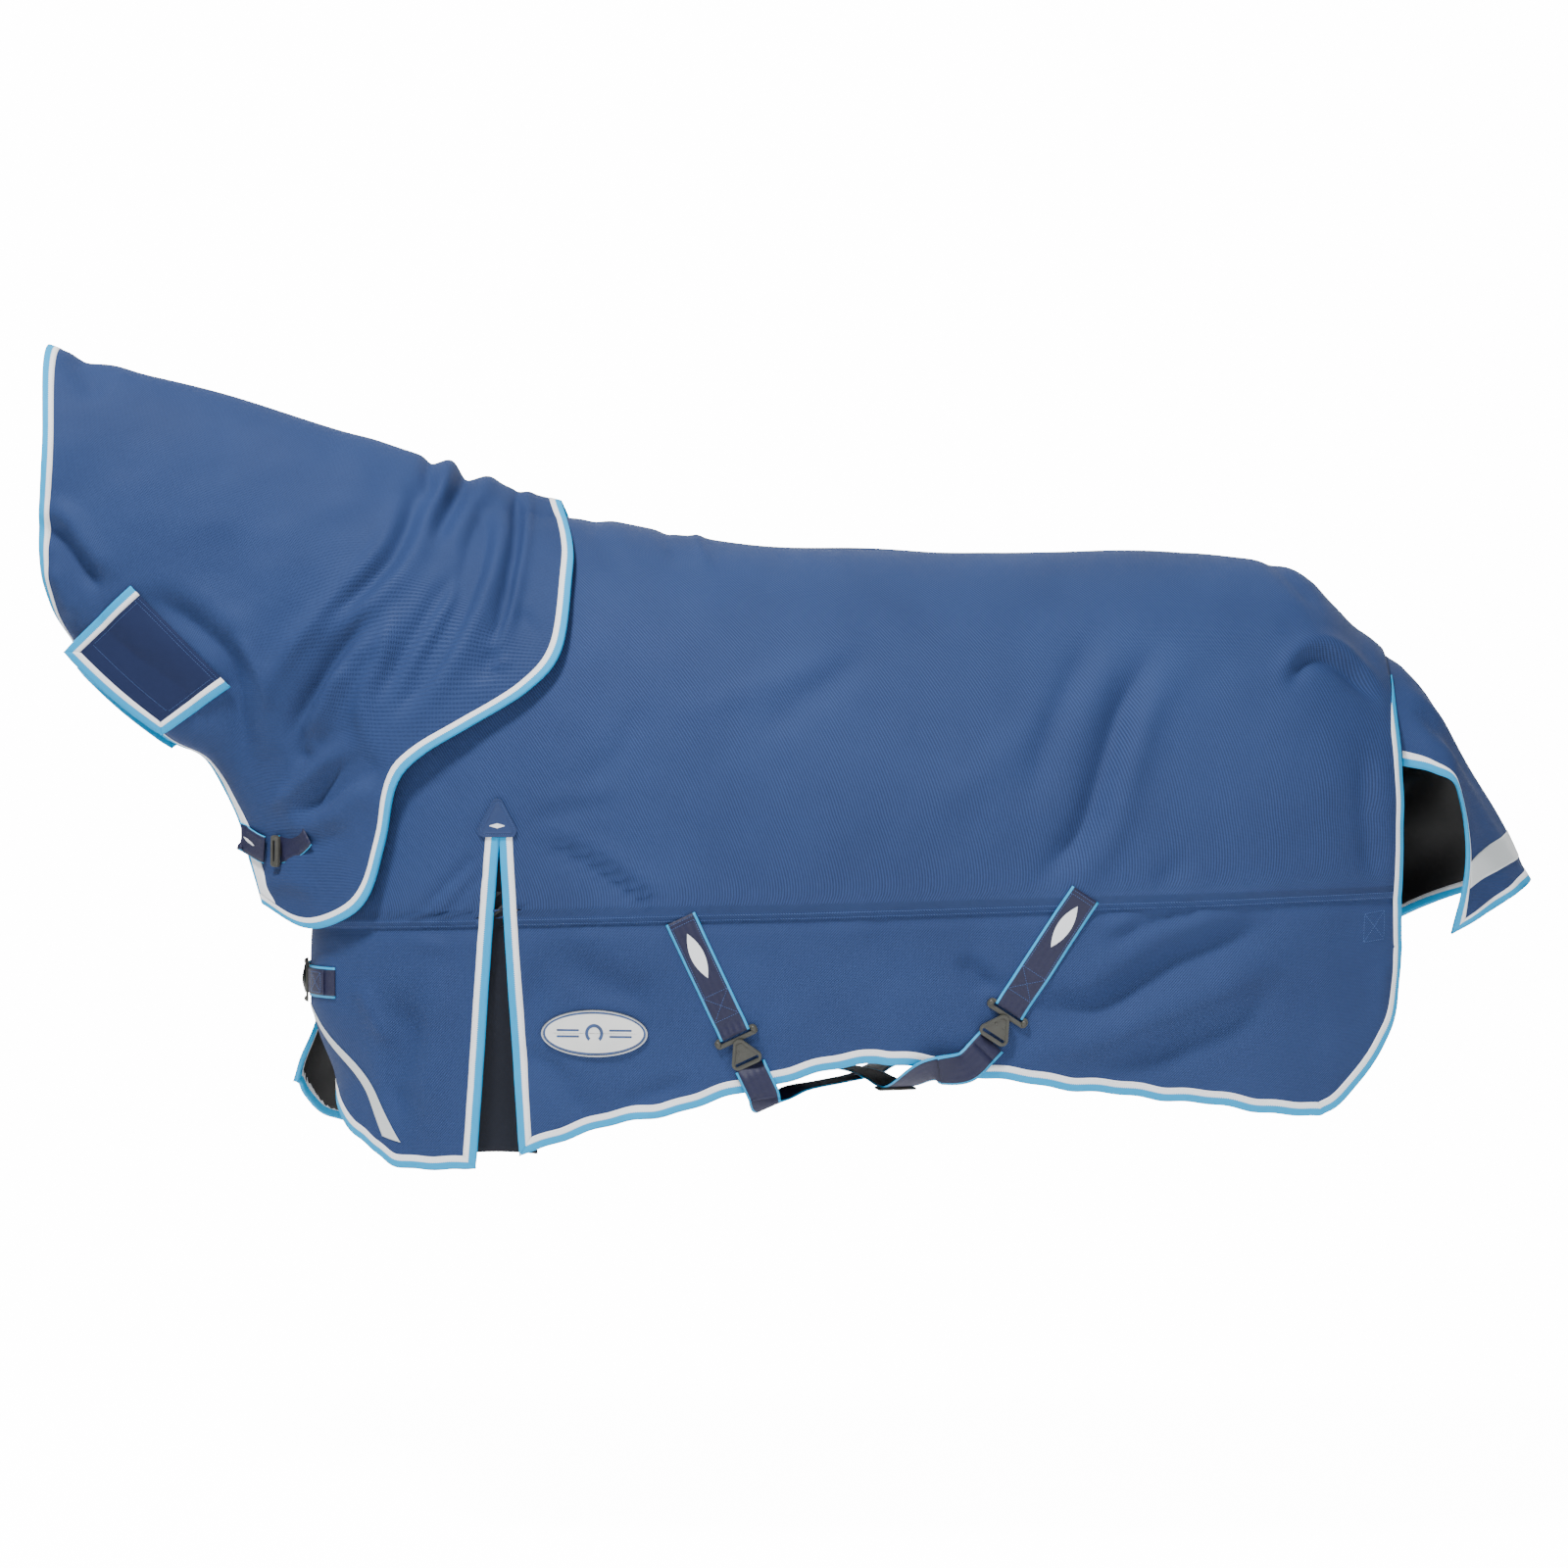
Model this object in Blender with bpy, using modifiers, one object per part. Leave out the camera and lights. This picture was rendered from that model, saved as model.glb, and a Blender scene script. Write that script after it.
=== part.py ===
"""Turnout rug with a detachable neck cover, in the shape it takes on a standing horse.

X runs along the horse with the head towards -X, the horse's left side is at -Y and +Z is up.
The origin is under the lining on the middle of the back, where the rug rests on the horse.
"""

import math

import bmesh
import bpy
import numpy as np
from mathutils import Matrix, Vector

# Overall sizes of the rug, in metres.
RUG_LENGTH = 1.755
SIDE_DROP = 0.900
BARREL_HALF_WIDTH = 0.335
NECK_HALF_WIDTH = 0.125

# The pattern that the outlines below are drawn at: other sizes are graded from it.
PATTERN_LENGTH = 1.755
PATTERN_DROP = 0.900
PATTERN_HALF_WIDTH = 0.335

# Cloth and tape.
OUTER_THICKNESS = 0.0020
LINING_THICKNESS = 0.0020
LAYER_GAP = 0.0040
SEAM_GAP = 0.0040
TRIM_LIFT = 0.0012
TAPE_WIDTH = 0.021
TAPE_PROUD = 0.0004
NECK_CLEARANCE = 0.017

# Webbing and fastenings.
WEBBING_WIDTH = 0.050
WEBBING_THICKNESS = 0.0020
NECK_WEBBING_WIDTH = 0.045
CLIP_SIDE = 0.064
CLIP_THICKNESS = 0.0055
HOOK_WIDTH = 0.072
HOOK_DEPTH = 0.016
HOOK_THICKNESS = 0.0050
SLIDE_LENGTH = 0.034
FIT_GAP = 0.0006
RING_SIZE = 0.034
RING_BAR = 0.0045

# Marks, patches and strips.
BADGE_LENGTH = 0.170
BADGE_HEIGHT = 0.075
BADGE_THICKNESS = 0.0022
PATCH_WIDTH = 0.076
PATCH_HEIGHT = 0.066
PATCH_THICKNESS = 0.0025
REFLECTIVE_WIDTH = 0.050

# Shoulder gusset: the slit opens from its top point down to the hem.
GUSSET_X = -0.448
GUSSET_TOP = -0.461
GUSSET_BOTTOM_FRONT = -0.487
GUSSET_BOTTOM_REAR = -0.418

# Heights that the shapes turn at, measured down from the back.
WIDEST_Z = -0.430
SEAM_FRONT_Z = -0.614
SEAM_REAR_Z = -0.562
HEM_TUCK = 0.10
HEM_TUCK_DEPTH = 0.50
TAPE_TOP_REAR_Z = -0.205

# How much closer together a long sheet's columns stand at the chest, where it bends most.
COLUMN_CROWDING = 1.4

# Lengths that one whole turn or share stands for, where tapes take a set width of it.
THROAT_TURN_LENGTH = 0.42
FLAP_LENGTH = 0.455
FLAP_TURN_LENGTH = 0.26

# Turns of the rear edge between which it changes from bare cloth on top to taped at the sides.
REAR_BARE_TURN = 0.25
REAR_TAPED_TURN = 0.38

# Outline of the body from the side: (x, z).
TOPLINE = (
    (-0.780, 0.110), (-0.600, 0.090), (-0.460, 0.066), (-0.400, 0.058), (-0.366, 0.056), (-0.257, 0.045),
    (-0.140, 0.023), (0.000, 0.009), (0.290, -0.001), (0.614, 0.001), (0.788, -0.015), (0.862, -0.051),
    (0.928, -0.115), (0.961, -0.138), (0.983, -0.156),
)
HEM = (
    (-0.772, -0.880), (-0.766, -0.905), (-0.750, -0.928), (-0.719, -0.952), (-0.655, -0.978),
    (-0.588, -0.991), (-0.500, -0.988), (-0.396, -0.960), (-0.301, -0.923), (-0.182, -0.897),
    (-0.049, -0.856), (0.050, -0.830), (0.130, -0.812), (0.193, -0.818), (0.474, -0.858), (0.664, -0.881),
    (0.823, -0.903), (0.857, -0.897), (0.900, -0.862), (0.943, -0.807), (0.970, -0.741), (0.983, -0.640),
)
# Outline of the body from above: (x, half width) from the chest edge to the rear edge.
PLAN = (
    (-0.772, 0.045), (-0.767, 0.095), (-0.735, 0.150), (-0.660, 0.205), (-0.550, 0.245), (-0.400, 0.272),
    (-0.200, 0.300), (0.050, 0.330), (0.250, 0.335), (0.500, 0.322), (0.700, 0.300), (0.850, 0.268),
    (0.950, 0.225), (0.983, 0.200),
)
# Outlines of the neck cover from the side: crest, throat, face edge and shoulder edge.
NECK_CREST = (
    (-1.212, 0.342), (-1.117, 0.308), (-0.931, 0.263), (-0.757, 0.208), (-0.592, 0.158), (-0.456, 0.108),
    (-0.367, 0.084),
)
NECK_THROAT = (
    (-1.164, -0.154), (-1.090, -0.240), (-1.012, -0.306), (-0.952, -0.337), (-0.916, -0.393),
    (-0.890, -0.448), (-0.876, -0.503), (-0.849, -0.576),
)
NECK_FACE_EDGE = ((-1.212, 0.342), (-1.198, 0.167), (-1.205, 0.006), (-1.193, -0.089), (-1.164, -0.154))
NECK_SHOULDER_EDGE = (
    (-0.367, 0.084), (-0.341, 0.011), (-0.338, -0.050), (-0.351, -0.168), (-0.401, -0.231),
    (-0.490, -0.286), (-0.571, -0.335), (-0.612, -0.381), (-0.632, -0.470), (-0.660, -0.560),
    (-0.710, -0.600), (-0.775, -0.612), (-0.849, -0.576),
)
# Half width that the neck cover must clear over the shoulder and chest: (x, half width).
SHOULDER_SPAN = (
    (-0.980, 0.000), (-0.900, 0.030), (-0.850, 0.060), (-0.800, 0.105), (-0.772, 0.128), (-0.735, 0.158),
    (-0.660, 0.207), (-0.550, 0.247), (-0.400, 0.274), (-0.200, 0.302),
)
NECK_HALF_ANGLE = math.radians(174)
NECK_REAR_WIDENING = 1.35
# Tail flap: its middle line and its left edge, each (x, y, z).
FLAP_MIDDLE = (
    (0.987, 0.000, -0.168), (1.031, 0.000, -0.208), (1.126, 0.000, -0.362), (1.230, 0.000, -0.540),
)
FLAP_EDGE = (
    (0.989, -0.172, -0.350), (1.040, -0.172, -0.362), (1.083, -0.165, -0.392), (1.098, -0.150, -0.500),
    (1.078, -0.120, -0.623),
)
FLAP_BAND_END = 0.80

COLOURS = {
    "outer_fabric": ((0.060, 0.125, 0.300), 0.75),
    "lining_fabric": ((0.010, 0.010, 0.012), 0.60),
    "binding_tape": ((0.180, 0.620, 0.800), 0.70),
    "webbing": ((0.020, 0.020, 0.075), 0.65),
    "moulded_plastic": ((0.070, 0.070, 0.062), 0.45),
    "reflective_tape": ((0.480, 0.510, 0.510), 0.35),
    "patch_rubber": ((0.110, 0.180, 0.340), 0.55),
    "badge_face": ((0.750, 0.740, 0.700), 0.35),
    "touch_tape": ((0.030, 0.060, 0.160), 0.90),
}

LEFT = -1.0
RIGHT = 1.0
SIDES = (("left", LEFT), ("right", RIGHT))


# ---------------------------------------------------------------------------------------------
# Curves and the two draped surfaces


def graded(points):
    """An outline of the pattern, scaled to this rug's length and drop."""
    grade = np.array([RUG_LENGTH / PATTERN_LENGTH, SIDE_DROP / PATTERN_DROP])
    return np.array(points) * grade


def smooth_line(points, count=241):
    """Evenly spaced points on a smooth curve through the given points."""
    given = np.array(points, float)
    ends = np.vstack([2 * given[0] - given[1], given, 2 * given[-1] - given[-2]])
    pieces = []
    for index in range(len(given) - 1):
        before, start, end, after = ends[index : index + 4]
        t = np.linspace(0, 1, 24, endpoint=False)[:, None]
        even = 2 * start + (end - before) * t
        bend = (2 * before - 5 * start + 4 * end - after) * t**2
        twist = (3 * start - before - 3 * end + after) * t**3
        pieces.append(0.5 * (even + bend + twist))
    dense = np.vstack([*pieces, given[-1:]])
    run = np.concatenate([[0], np.cumsum(np.linalg.norm(np.diff(dense, axis=0), axis=1))])
    wanted = np.linspace(0, run[-1], count)
    return np.stack([np.interp(wanted, run, dense[:, axis]) for axis in range(dense.shape[1])], 1)


def along(line, share):
    """The point at a share of a smooth line's length."""
    place = np.clip(share, 0, 1) * (len(line) - 1)
    return np.array([np.interp(place, np.arange(len(line)), line[:, axis]) for axis in range(line.shape[1])])


GRADE_X = RUG_LENGTH / PATTERN_LENGTH
GRADE_Z = SIDE_DROP / PATTERN_DROP
GRADE_Y = BARREL_HALF_WIDTH / PATTERN_HALF_WIDTH
TOP = smooth_line(graded(TOPLINE))
BOTTOM = smooth_line(graded(HEM), 481)
ROUND = smooth_line(np.array(PLAN) * np.array([GRADE_X, GRADE_Y]), 961)
ROUND_RUN = np.concatenate([[0], np.cumsum(np.linalg.norm(np.diff(ROUND, axis=0), axis=1))])
GIRTH = ROUND_RUN[-1]
WIDE = WIDEST_Z * GRADE_Z


def run_of(x):
    """Distance round the body from the chest edge, at a place along the horse."""
    return float(np.interp(x, ROUND[:, 0], ROUND_RUN))


def plan_at(run):
    x = float(np.interp(run, ROUND_RUN, ROUND[:, 0]))
    return x, float(np.interp(run, ROUND_RUN, ROUND[:, 1]))


def top_at(x):
    return float(np.interp(x, TOP[:, 0], TOP[:, 1]))


def hem_at(x):
    return float(np.interp(x, BOTTOM[:, 0], BOTTOM[:, 1]))


def seam_at(x):
    """Height of the seam between the back panel and the lower panels."""
    share = (x / GRADE_X - PLAN[0][0]) / (PLAN[-1][0] - PLAN[0][0])
    return (SEAM_FRONT_Z + (SEAM_REAR_Z - SEAM_FRONT_Z) * share) * GRADE_Z


def tuck(z):
    """How far the hanging side has drawn in at a height, as a share of the half width."""
    return 1 - HEM_TUCK * ((WIDE - z) / (HEM_TUCK_DEPTH * GRADE_Z)) ** 2


def drape(run, turn):
    """A point of the body's outer face: turn is -1 to 1 over the back, and beyond that down a side."""
    x, half = plan_at(run)
    if abs(turn) <= 1:
        angle = turn * math.pi / 2
        return Vector((x, half * math.sin(angle), WIDE + (top_at(x) - WIDE) * math.cos(angle)))
    z = WIDE - (abs(turn) - 1) * SIDE_DROP
    return Vector((x, math.copysign(half * tuck(z), turn), z))


def turn_of(run, z, side):
    """The turn that reaches a height on one side."""
    if z <= WIDE:
        return side * (1 + (WIDE - z) / SIDE_DROP)
    x, _ = plan_at(run)
    return side * math.acos(min(1, (z - WIDE) / (top_at(x) - WIDE))) * 2 / math.pi


def lifted(surface, a, b, lift, step=0.004):
    """A point at a distance out from a surface."""
    here = surface(a, b)
    if not lift:
        return here
    run = surface(a + step, b) - surface(a - step, b)
    rise = surface(a, b + step) - surface(a, b - step)
    return here + run.cross(rise).normalized() * lift


def on_body(run, z, side, lift=0.0):
    return lifted(drape, run, turn_of(run, z, side), lift)


def on_side(x, z, side, lift=0.0):
    """A point on the body's side, by its place along the horse and its height in the pattern."""
    return on_body(run_of(x * GRADE_X), z * GRADE_Z, side, lift)


CREST = smooth_line(graded(NECK_CREST))
THROAT = smooth_line(graded(NECK_THROAT))
FACE = smooth_line(graded(NECK_FACE_EDGE))
SHOULDER = smooth_line(graded(NECK_SHOULDER_EDGE))
SPAN = smooth_line(np.array(SHOULDER_SPAN) * np.array([GRADE_X, GRADE_Y]))


def shoulder_width(x, z):
    """Half width of the body under the neck cover."""
    half = float(np.interp(x, SPAN[:, 0], SPAN[:, 1]))
    share = (z - WIDE) / (top_at(x) - WIDE)
    if share <= 0:
        return half
    return half * math.sqrt(max(0.0, 1 - min(1.0, share) ** 2))


def neck(share, turn):
    """A point of the neck cover's outer face: share from face to shoulder, turn -1 to 1 round the neck."""
    angle = turn * NECK_HALF_ANGLE
    down = (1 - math.cos(angle)) / 2
    across = (1 - share) * along(FACE, down) + share * along(SHOULDER, down)
    length = (1 - down) * along(CREST, share) + down * along(THROAT, share)
    corners = (1 - share) * ((1 - down) * FACE[0] + down * FACE[-1])
    corners = corners + share * ((1 - down) * SHOULDER[0] + down * SHOULDER[-1])
    x, z = across + length - corners
    tube = NECK_HALF_WIDTH * (1 + (NECK_REAR_WIDENING - 1) * share) * abs(math.sin(angle))
    clear = shoulder_width(x, z)
    clear = clear + NECK_CLEARANCE * min(1.0, clear / 0.05)
    half = (tube**6 + clear**6) ** (1 / 6)
    return Vector((float(x), math.copysign(half, angle), float(z)))


FLAP_LINE = smooth_line(np.array(FLAP_MIDDLE) * np.array([GRADE_X, GRADE_Y, GRADE_Z]))
FLAP_SIDE = smooth_line(np.array(FLAP_EDGE) * np.array([GRADE_X, GRADE_Y, GRADE_Z]))


def flap(share, turn):
    """A point of the tail flap: share from dock to tip, turn -1 to 1 across it."""
    middle = along(FLAP_LINE, share)
    edge = along(FLAP_SIDE, share)
    angle = abs(turn) * math.pi / 2
    reach = 1 - math.cos(angle)
    x = middle[0] + (edge[0] - middle[0]) * reach
    z = middle[2] + (edge[2] - middle[2]) * reach
    return Vector((float(x), math.copysign(abs(edge[1]) * math.sin(angle), turn), float(z)))


# ---------------------------------------------------------------------------------------------
# Modelling helpers


def clear_scene():
    for thing in list(bpy.data.objects):
        bpy.data.objects.remove(thing, do_unlink=True)


def new_collection(name, hidden=False):
    made = bpy.data.collections.new(name)
    bpy.context.scene.collection.children.link(made)
    made.hide_render = hidden
    return made


def make_materials():
    made = {}
    for name, (colour, roughness) in COLOURS.items():
        material = bpy.data.materials.new(name)
        material.use_nodes = True
        shader = material.node_tree.nodes["Principled BSDF"]
        shader.inputs["Base Color"].default_value = (*colour, 1)
        shader.inputs["Roughness"].default_value = roughness
        made[name] = material
    return made


def keep(name, data, material, collection="turnout_rug"):
    thing = bpy.data.objects.new(name, data)
    bpy.data.collections[collection].objects.link(thing)
    if material:
        data.materials.append(bpy.data.materials[material])
    return thing


def sheet(name, columns, rows, place, thickness, material):
    """A draped sheet: a grid laid on a surface, with its thickness growing inwards."""
    shape = bmesh.new()
    bmesh.ops.create_grid(shape, x_segments=columns, y_segments=rows, size=1.0)
    for vertex in shape.verts:
        vertex.co = place((vertex.co.x + 1) / 2, (vertex.co.y + 1) / 2)
    data = bpy.data.meshes.new(name)
    shape.to_mesh(data)
    shape.free()
    data.shade_smooth()
    thing = keep(name, data, material)
    solid = thing.modifiers.new("cloth_thickness", "SOLIDIFY")
    solid.thickness = thickness
    solid.offset = -1
    solid.use_rim = True
    return thing


def rounded(corners, radius, steps=3):
    """A closed outline with its corners rounded."""
    outline = []
    count = len(corners)
    for index in range(count):
        before = Vector(corners[index - 1])
        corner = Vector(corners[index])
        after = Vector(corners[(index + 1) % count])
        back = (before - corner).normalized()
        ahead = (after - corner).normalized()
        half = back.angle(ahead) / 2
        centre = corner + (back + ahead).normalized() * radius / math.sin(half)
        start = corner + back * radius / math.tan(half) - centre
        end = corner + ahead * radius / math.tan(half) - centre
        for step in range(steps + 1):
            arm = start.lerp(end, step / steps).normalized() * radius
            outline.append(centre + arm)
    return outline


def oval(length, height, count=28):
    turns = [2 * math.pi * index / count for index in range(count)]
    return [Vector((length / 2 * math.cos(turn), height / 2 * math.sin(turn))) for turn in turns]


def box_outline(width, height, middle=(0.0, 0.0)):
    x, y = middle
    across = width / 2
    up = height / 2
    return [(x - across, y - up), (x + across, y - up), (x + across, y + up), (x - across, y + up)]


def plate(name, outlines, thickness, seat, material):
    """A flat piece cut to outlines, the later ones being holes, and set on a seat by its back face."""
    curve = bpy.data.curves.new(name, "CURVE")
    curve.dimensions = "2D"
    curve.fill_mode = "BOTH"
    curve.extrude = thickness / 2
    for outline in outlines:
        line = curve.splines.new("POLY")
        line.points.add(len(outline) - 1)
        for point, spot in zip(line.points, outline):
            point.co = (spot[0], spot[1], 0, 1)
        line.use_cyclic_u = True
    thing = keep(name, curve, material)
    thing.matrix_world = seat @ Matrix.Translation((0, 0, thickness / 2))
    return thing


def seat_on(point, normal, heading):
    """A frame at a point: its Z is the normal and its Y is as near the heading as the face allows."""
    out = Vector(normal).normalized()
    ahead = Vector(heading)
    ahead = (ahead - out * ahead.dot(out)).normalized()
    side = ahead.cross(out)
    return Matrix.Translation(point) @ Matrix((side, ahead, out)).transposed().to_4x4()


def side_seat(x, z, side, lift, heading):
    """A frame on the body's side, heading given as (x, z)."""
    foot = on_side(x, z, side, lift)
    normal = on_side(x, z, side, lift + 0.01) - foot
    return seat_on(foot, normal, (heading[0], 0, heading[1]))


# ---------------------------------------------------------------------------------------------
# Edge tape


def offset_path(path, width):
    """The path moved sideways to its left by a width, with mitred corners."""
    path = np.array(path)
    ahead = np.diff(path, axis=0)
    ahead /= np.linalg.norm(ahead, axis=1)[:, None]
    left = np.stack([-ahead[:, 1], ahead[:, 0]], 1)
    first = np.vstack([left[:1], left])
    second = np.vstack([left, left[-1:]])
    mean = first + second
    mean /= np.linalg.norm(mean, axis=1)[:, None]
    mitre = np.maximum(0.45, (mean * first).sum(1))
    return path + mean * (width / mitre)[:, None]


def taped_edge(name, side, path):
    """Binding tape folded over an edge; the path is (run, z) and the cloth lies to its left."""
    outer = np.array(path)
    inner = offset_path(outer, TAPE_WIDTH)
    count = len(outer) - 1

    def place(share, across):
        index = round(share * count)
        run, z = outer[index] + (inner[index] - outer[index]) * across
        return on_body(run, z, side, TAPE_PROUD)

    thing = sheet(name, count, 1, place, layer_depth(3) + 2 * TAPE_PROUD, "binding_tape")
    face_outwards(thing)
    return thing


def face_outwards(thing):
    """Turns a sheet's faces away from the rug's inside before its thickness is added."""
    shape = bmesh.new()
    shape.from_mesh(thing.data)
    away = 0.0
    for face in shape.faces:
        middle = face.calc_center_median()
        away += face.normal.dot(Vector((0, middle.y, middle.z - WIDE))) * face.calc_area()
    if away < 0:
        bmesh.ops.reverse_faces(shape, faces=shape.faces)
    shape.to_mesh(thing.data)
    shape.free()


def layer_depth(layers):
    """Depth from the outer face through the outer cloth (1), the gap (2) and the lining (3)."""
    return sum((OUTER_THICKNESS, LAYER_GAP, LINING_THICKNESS)[:layers])


def gusset_edge(z, rear, tape=0.0):
    """Run of a gusset slit's edge at a height, moved out over its tape."""
    bottom = GUSSET_BOTTOM_REAR if rear else GUSSET_BOTTOM_FRONT
    top_z = GUSSET_TOP * GRADE_Z
    low_z = hem_at(GUSSET_X * GRADE_X)
    share = (z - top_z) / (low_z - top_z)
    x = (GUSSET_X + (bottom - GUSSET_X) * share) * GRADE_X
    outward = tape + FIT_GAP
    return run_of(x) + (outward if rear else -outward)


def hem_path(first_run, last_run, count):
    runs = np.linspace(first_run, last_run, count)
    return [(run, hem_at(plan_at(run)[0])) for run in runs]


def hem_inside():
    """The hem moved up by the tape's width, as (run, z)."""
    line = [(run_of(x), z) for x, z in BOTTOM]
    return offset_path(line, TAPE_WIDTH + 1.6 * SEAM_GAP)


HEM_INSIDE = hem_inside()


def cloth_hem(run):
    return float(np.interp(run, HEM_INSIDE[:, 0], HEM_INSIDE[:, 1]))


def neckline(turn):
    """Run of the body's neckline at a turn over the withers."""
    x = (-0.425 - 0.347 * min(1.0, abs(turn) / 1.16) ** 2.2) * GRADE_X
    return run_of(x)


# ---------------------------------------------------------------------------------------------
# Body of the rug


# Rounds that settle a place between slanting upright edges and a curved hem.
EDGE_ROUNDS = 3
BACK_ROWS = 18
SIDE_ROWS = 4
BODY_COLUMNS = 22


def rear_inset(turn):
    """How far the cloth stops short of the rear edge: its tapes start partway down the sides."""
    taped = (abs(turn) - REAR_BARE_TURN) / (REAR_TAPED_TURN - REAR_BARE_TURN)
    return (TAPE_WIDTH + SEAM_GAP) * min(1.0, max(0.0, taped))


def back_spot(share, across, gap):
    """Run and turn of a place on the back, between the seams and from neckline to rear edge."""
    inset = TAPE_WIDTH + SEAM_GAP
    foot = turn_of(GIRTH / 2, seam_at(0), RIGHT)
    turn = (2 * across - 1) * foot
    start = neckline(turn) + inset
    run = start + (GIRTH - rear_inset(turn) - start) * share**COLUMN_CROWDING
    if abs(turn) > 1:
        low = abs(turn_of(run, seam_at(plan_at(run)[0]) + gap, RIGHT))
        turn = math.copysign(1 + (abs(turn) - 1) * (low - 1) / (foot - 1), turn)
    return run, turn


def back_panel():
    def place(share, across):
        return drape(*back_spot(share, across, SEAM_GAP / 4))

    sheet("back_panel", BODY_COLUMNS, BACK_ROWS, place, OUTER_THICKNESS, "outer_fabric")


def side_cloth(name, side, first, last, columns, rows, top, depth, thickness, material):
    """A sheet down one side between two upright edges, from a top line to the taped hem."""

    def place(share, across):
        down = 1 - across if side < 0 else across
        z = WIDE
        for _ in range(EDGE_ROUNDS):
            run = first(z) + (last(z) - first(z)) * share
            z = top(run) + (cloth_hem(run) - top(run)) * down
        return on_body(run, z, side, -depth)

    return sheet(name, columns, rows, place, thickness, material)


def lower_panels():
    inset = TAPE_WIDTH + SEAM_GAP
    for name, side in SIDES:
        side_cloth(
            f"chest_panel_{name}", side,
            lambda z: inset, lambda z: gusset_edge(z, False, inset),
            9, 5, lambda run: seam_at(plan_at(run)[0]) - SEAM_GAP, 0.0, OUTER_THICKNESS, "outer_fabric",
        )
        side_cloth(
            f"flank_panel_{name}", side,
            lambda z: gusset_edge(z, True, inset), lambda z: GIRTH - inset,
            22, 4, lambda run: seam_at(plan_at(run)[0]) - SEAM_GAP, 0.0, OUTER_THICKNESS, "outer_fabric",
        )


def body_lining():
    """One lining from hem to hem, under the back and the lower panels."""
    rows = BACK_ROWS + 2 * SIDE_ROWS

    def place(share, across):
        row = across * rows - SIDE_ROWS
        run, turn = back_spot(share, min(1.0, max(0.0, row / BACK_ROWS)), 0.0)
        below = max(-row, row - BACK_ROWS) / SIDE_ROWS
        if below > 0:
            low = turn_of(run, cloth_hem(run), math.copysign(1, turn))
            turn = turn + (low - turn) * below
        return lifted(drape, run, turn, -layer_depth(2))

    sheet("body_lining", BODY_COLUMNS, rows, place, LINING_THICKNESS, "lining_fabric")


def gusset_panels():
    """The pleat's inner panel, which closes the slit from behind."""
    behind = layer_depth(3) + LAYER_GAP + 0.0015
    for name, side in SIDES:
        side_cloth(
            f"shoulder_gusset_{name}", side,
            lambda z: gusset_edge(z, False, TAPE_WIDTH), lambda z: gusset_edge(z, True, TAPE_WIDTH),
            4, 8, lambda run: (GUSSET_TOP - 0.02) * GRADE_Z, behind, OUTER_THICKNESS, "outer_fabric",
        )


def cut_gussets():
    """Opens the back panel and the lining where the gusset and its tapes lie."""
    reach = BARREL_HALF_WIDTH
    inset = TAPE_WIDTH + SEAM_GAP
    for name, side in SIDES:
        shape = bmesh.new()
        bmesh.ops.create_cube(shape, size=1.0)
        for vertex in shape.verts:
            rear = vertex.co.x > 0
            z = (GUSSET_TOP + 0.004) * GRADE_Z if vertex.co.z > 0 else 1.06 * hem_at(GUSSET_X * GRADE_X)
            run = gusset_edge(min(z, GUSSET_TOP * GRADE_Z), rear, inset)
            x, _ = plan_at(run)
            y = side * (reach * 1.3 if (vertex.co.y > 0) == (side > 0) else reach * 0.4)
            vertex.co = (x, y, z)
        bmesh.ops.recalc_face_normals(shape, faces=shape.faces)
        data = bpy.data.meshes.new(f"gusset_cutter_{name}")
        shape.to_mesh(data)
        shape.free()
        cutter = keep(f"gusset_cutter_{name}", data, None, "cutters")
        cutter.hide_render = True
        cutter.display_type = "WIRE"
        for target in ("back_panel", "body_lining"):
            cut = bpy.data.objects[target].modifiers.new(f"gusset_{name}", "BOOLEAN")
            cut.operation = "DIFFERENCE"
            cut.solver = "EXACT"
            cut.object = cutter


def body_tapes():
    low_gusset = hem_at(GUSSET_X * GRADE_X)
    top_gusset = GUSSET_TOP * GRADE_Z
    neck_z = seam_at(PLAN[0][0] * GRADE_X)
    front_low = hem_at(PLAN[0][0] * GRADE_X)
    for name, side in SIDES:
        front = gusset_edge(low_gusset, False)
        rear = gusset_edge(low_gusset, True)
        down_front = [(0.0, z) for z in np.linspace(neck_z, front_low, 6)]
        chest_hem = hem_path(0.02, front, 16)
        up_slit = [(gusset_edge(z, False), z) for z in np.linspace(low_gusset, top_gusset, 10)[1:]]
        taped_edge(f"chest_tape_{name}", side, down_front + chest_hem + up_slit)
        down_slit = [(gusset_edge(z, True), z) for z in np.linspace(top_gusset, low_gusset, 10)[:-1]]
        flank_hem = hem_path(rear, GIRTH - 0.13, 26) + hem_path(GIRTH - 0.11, GIRTH, 9)
        rear_low = hem_at(PLAN[-1][0] * GRADE_X)
        up_rear = [(GIRTH, z) for z in np.linspace(rear_low, TAPE_TOP_REAR_Z * GRADE_Z, 12)[1:]]
        taped_edge(f"flank_tape_{name}", side, down_slit + flank_hem + up_rear)


def neckline_tape():
    """Tape along the neckline, over the withers from one chest edge to the other."""

    def place(share, across):
        turn = (2 * across - 1) * 1.16
        run = neckline(turn) + TAPE_WIDTH * share
        return lifted(drape, run, turn, TAPE_PROUD)

    sheet("neckline_tape", 1, 22, place, layer_depth(3) + 2 * TAPE_PROUD, "binding_tape")


# ---------------------------------------------------------------------------------------------
# Neck cover


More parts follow.
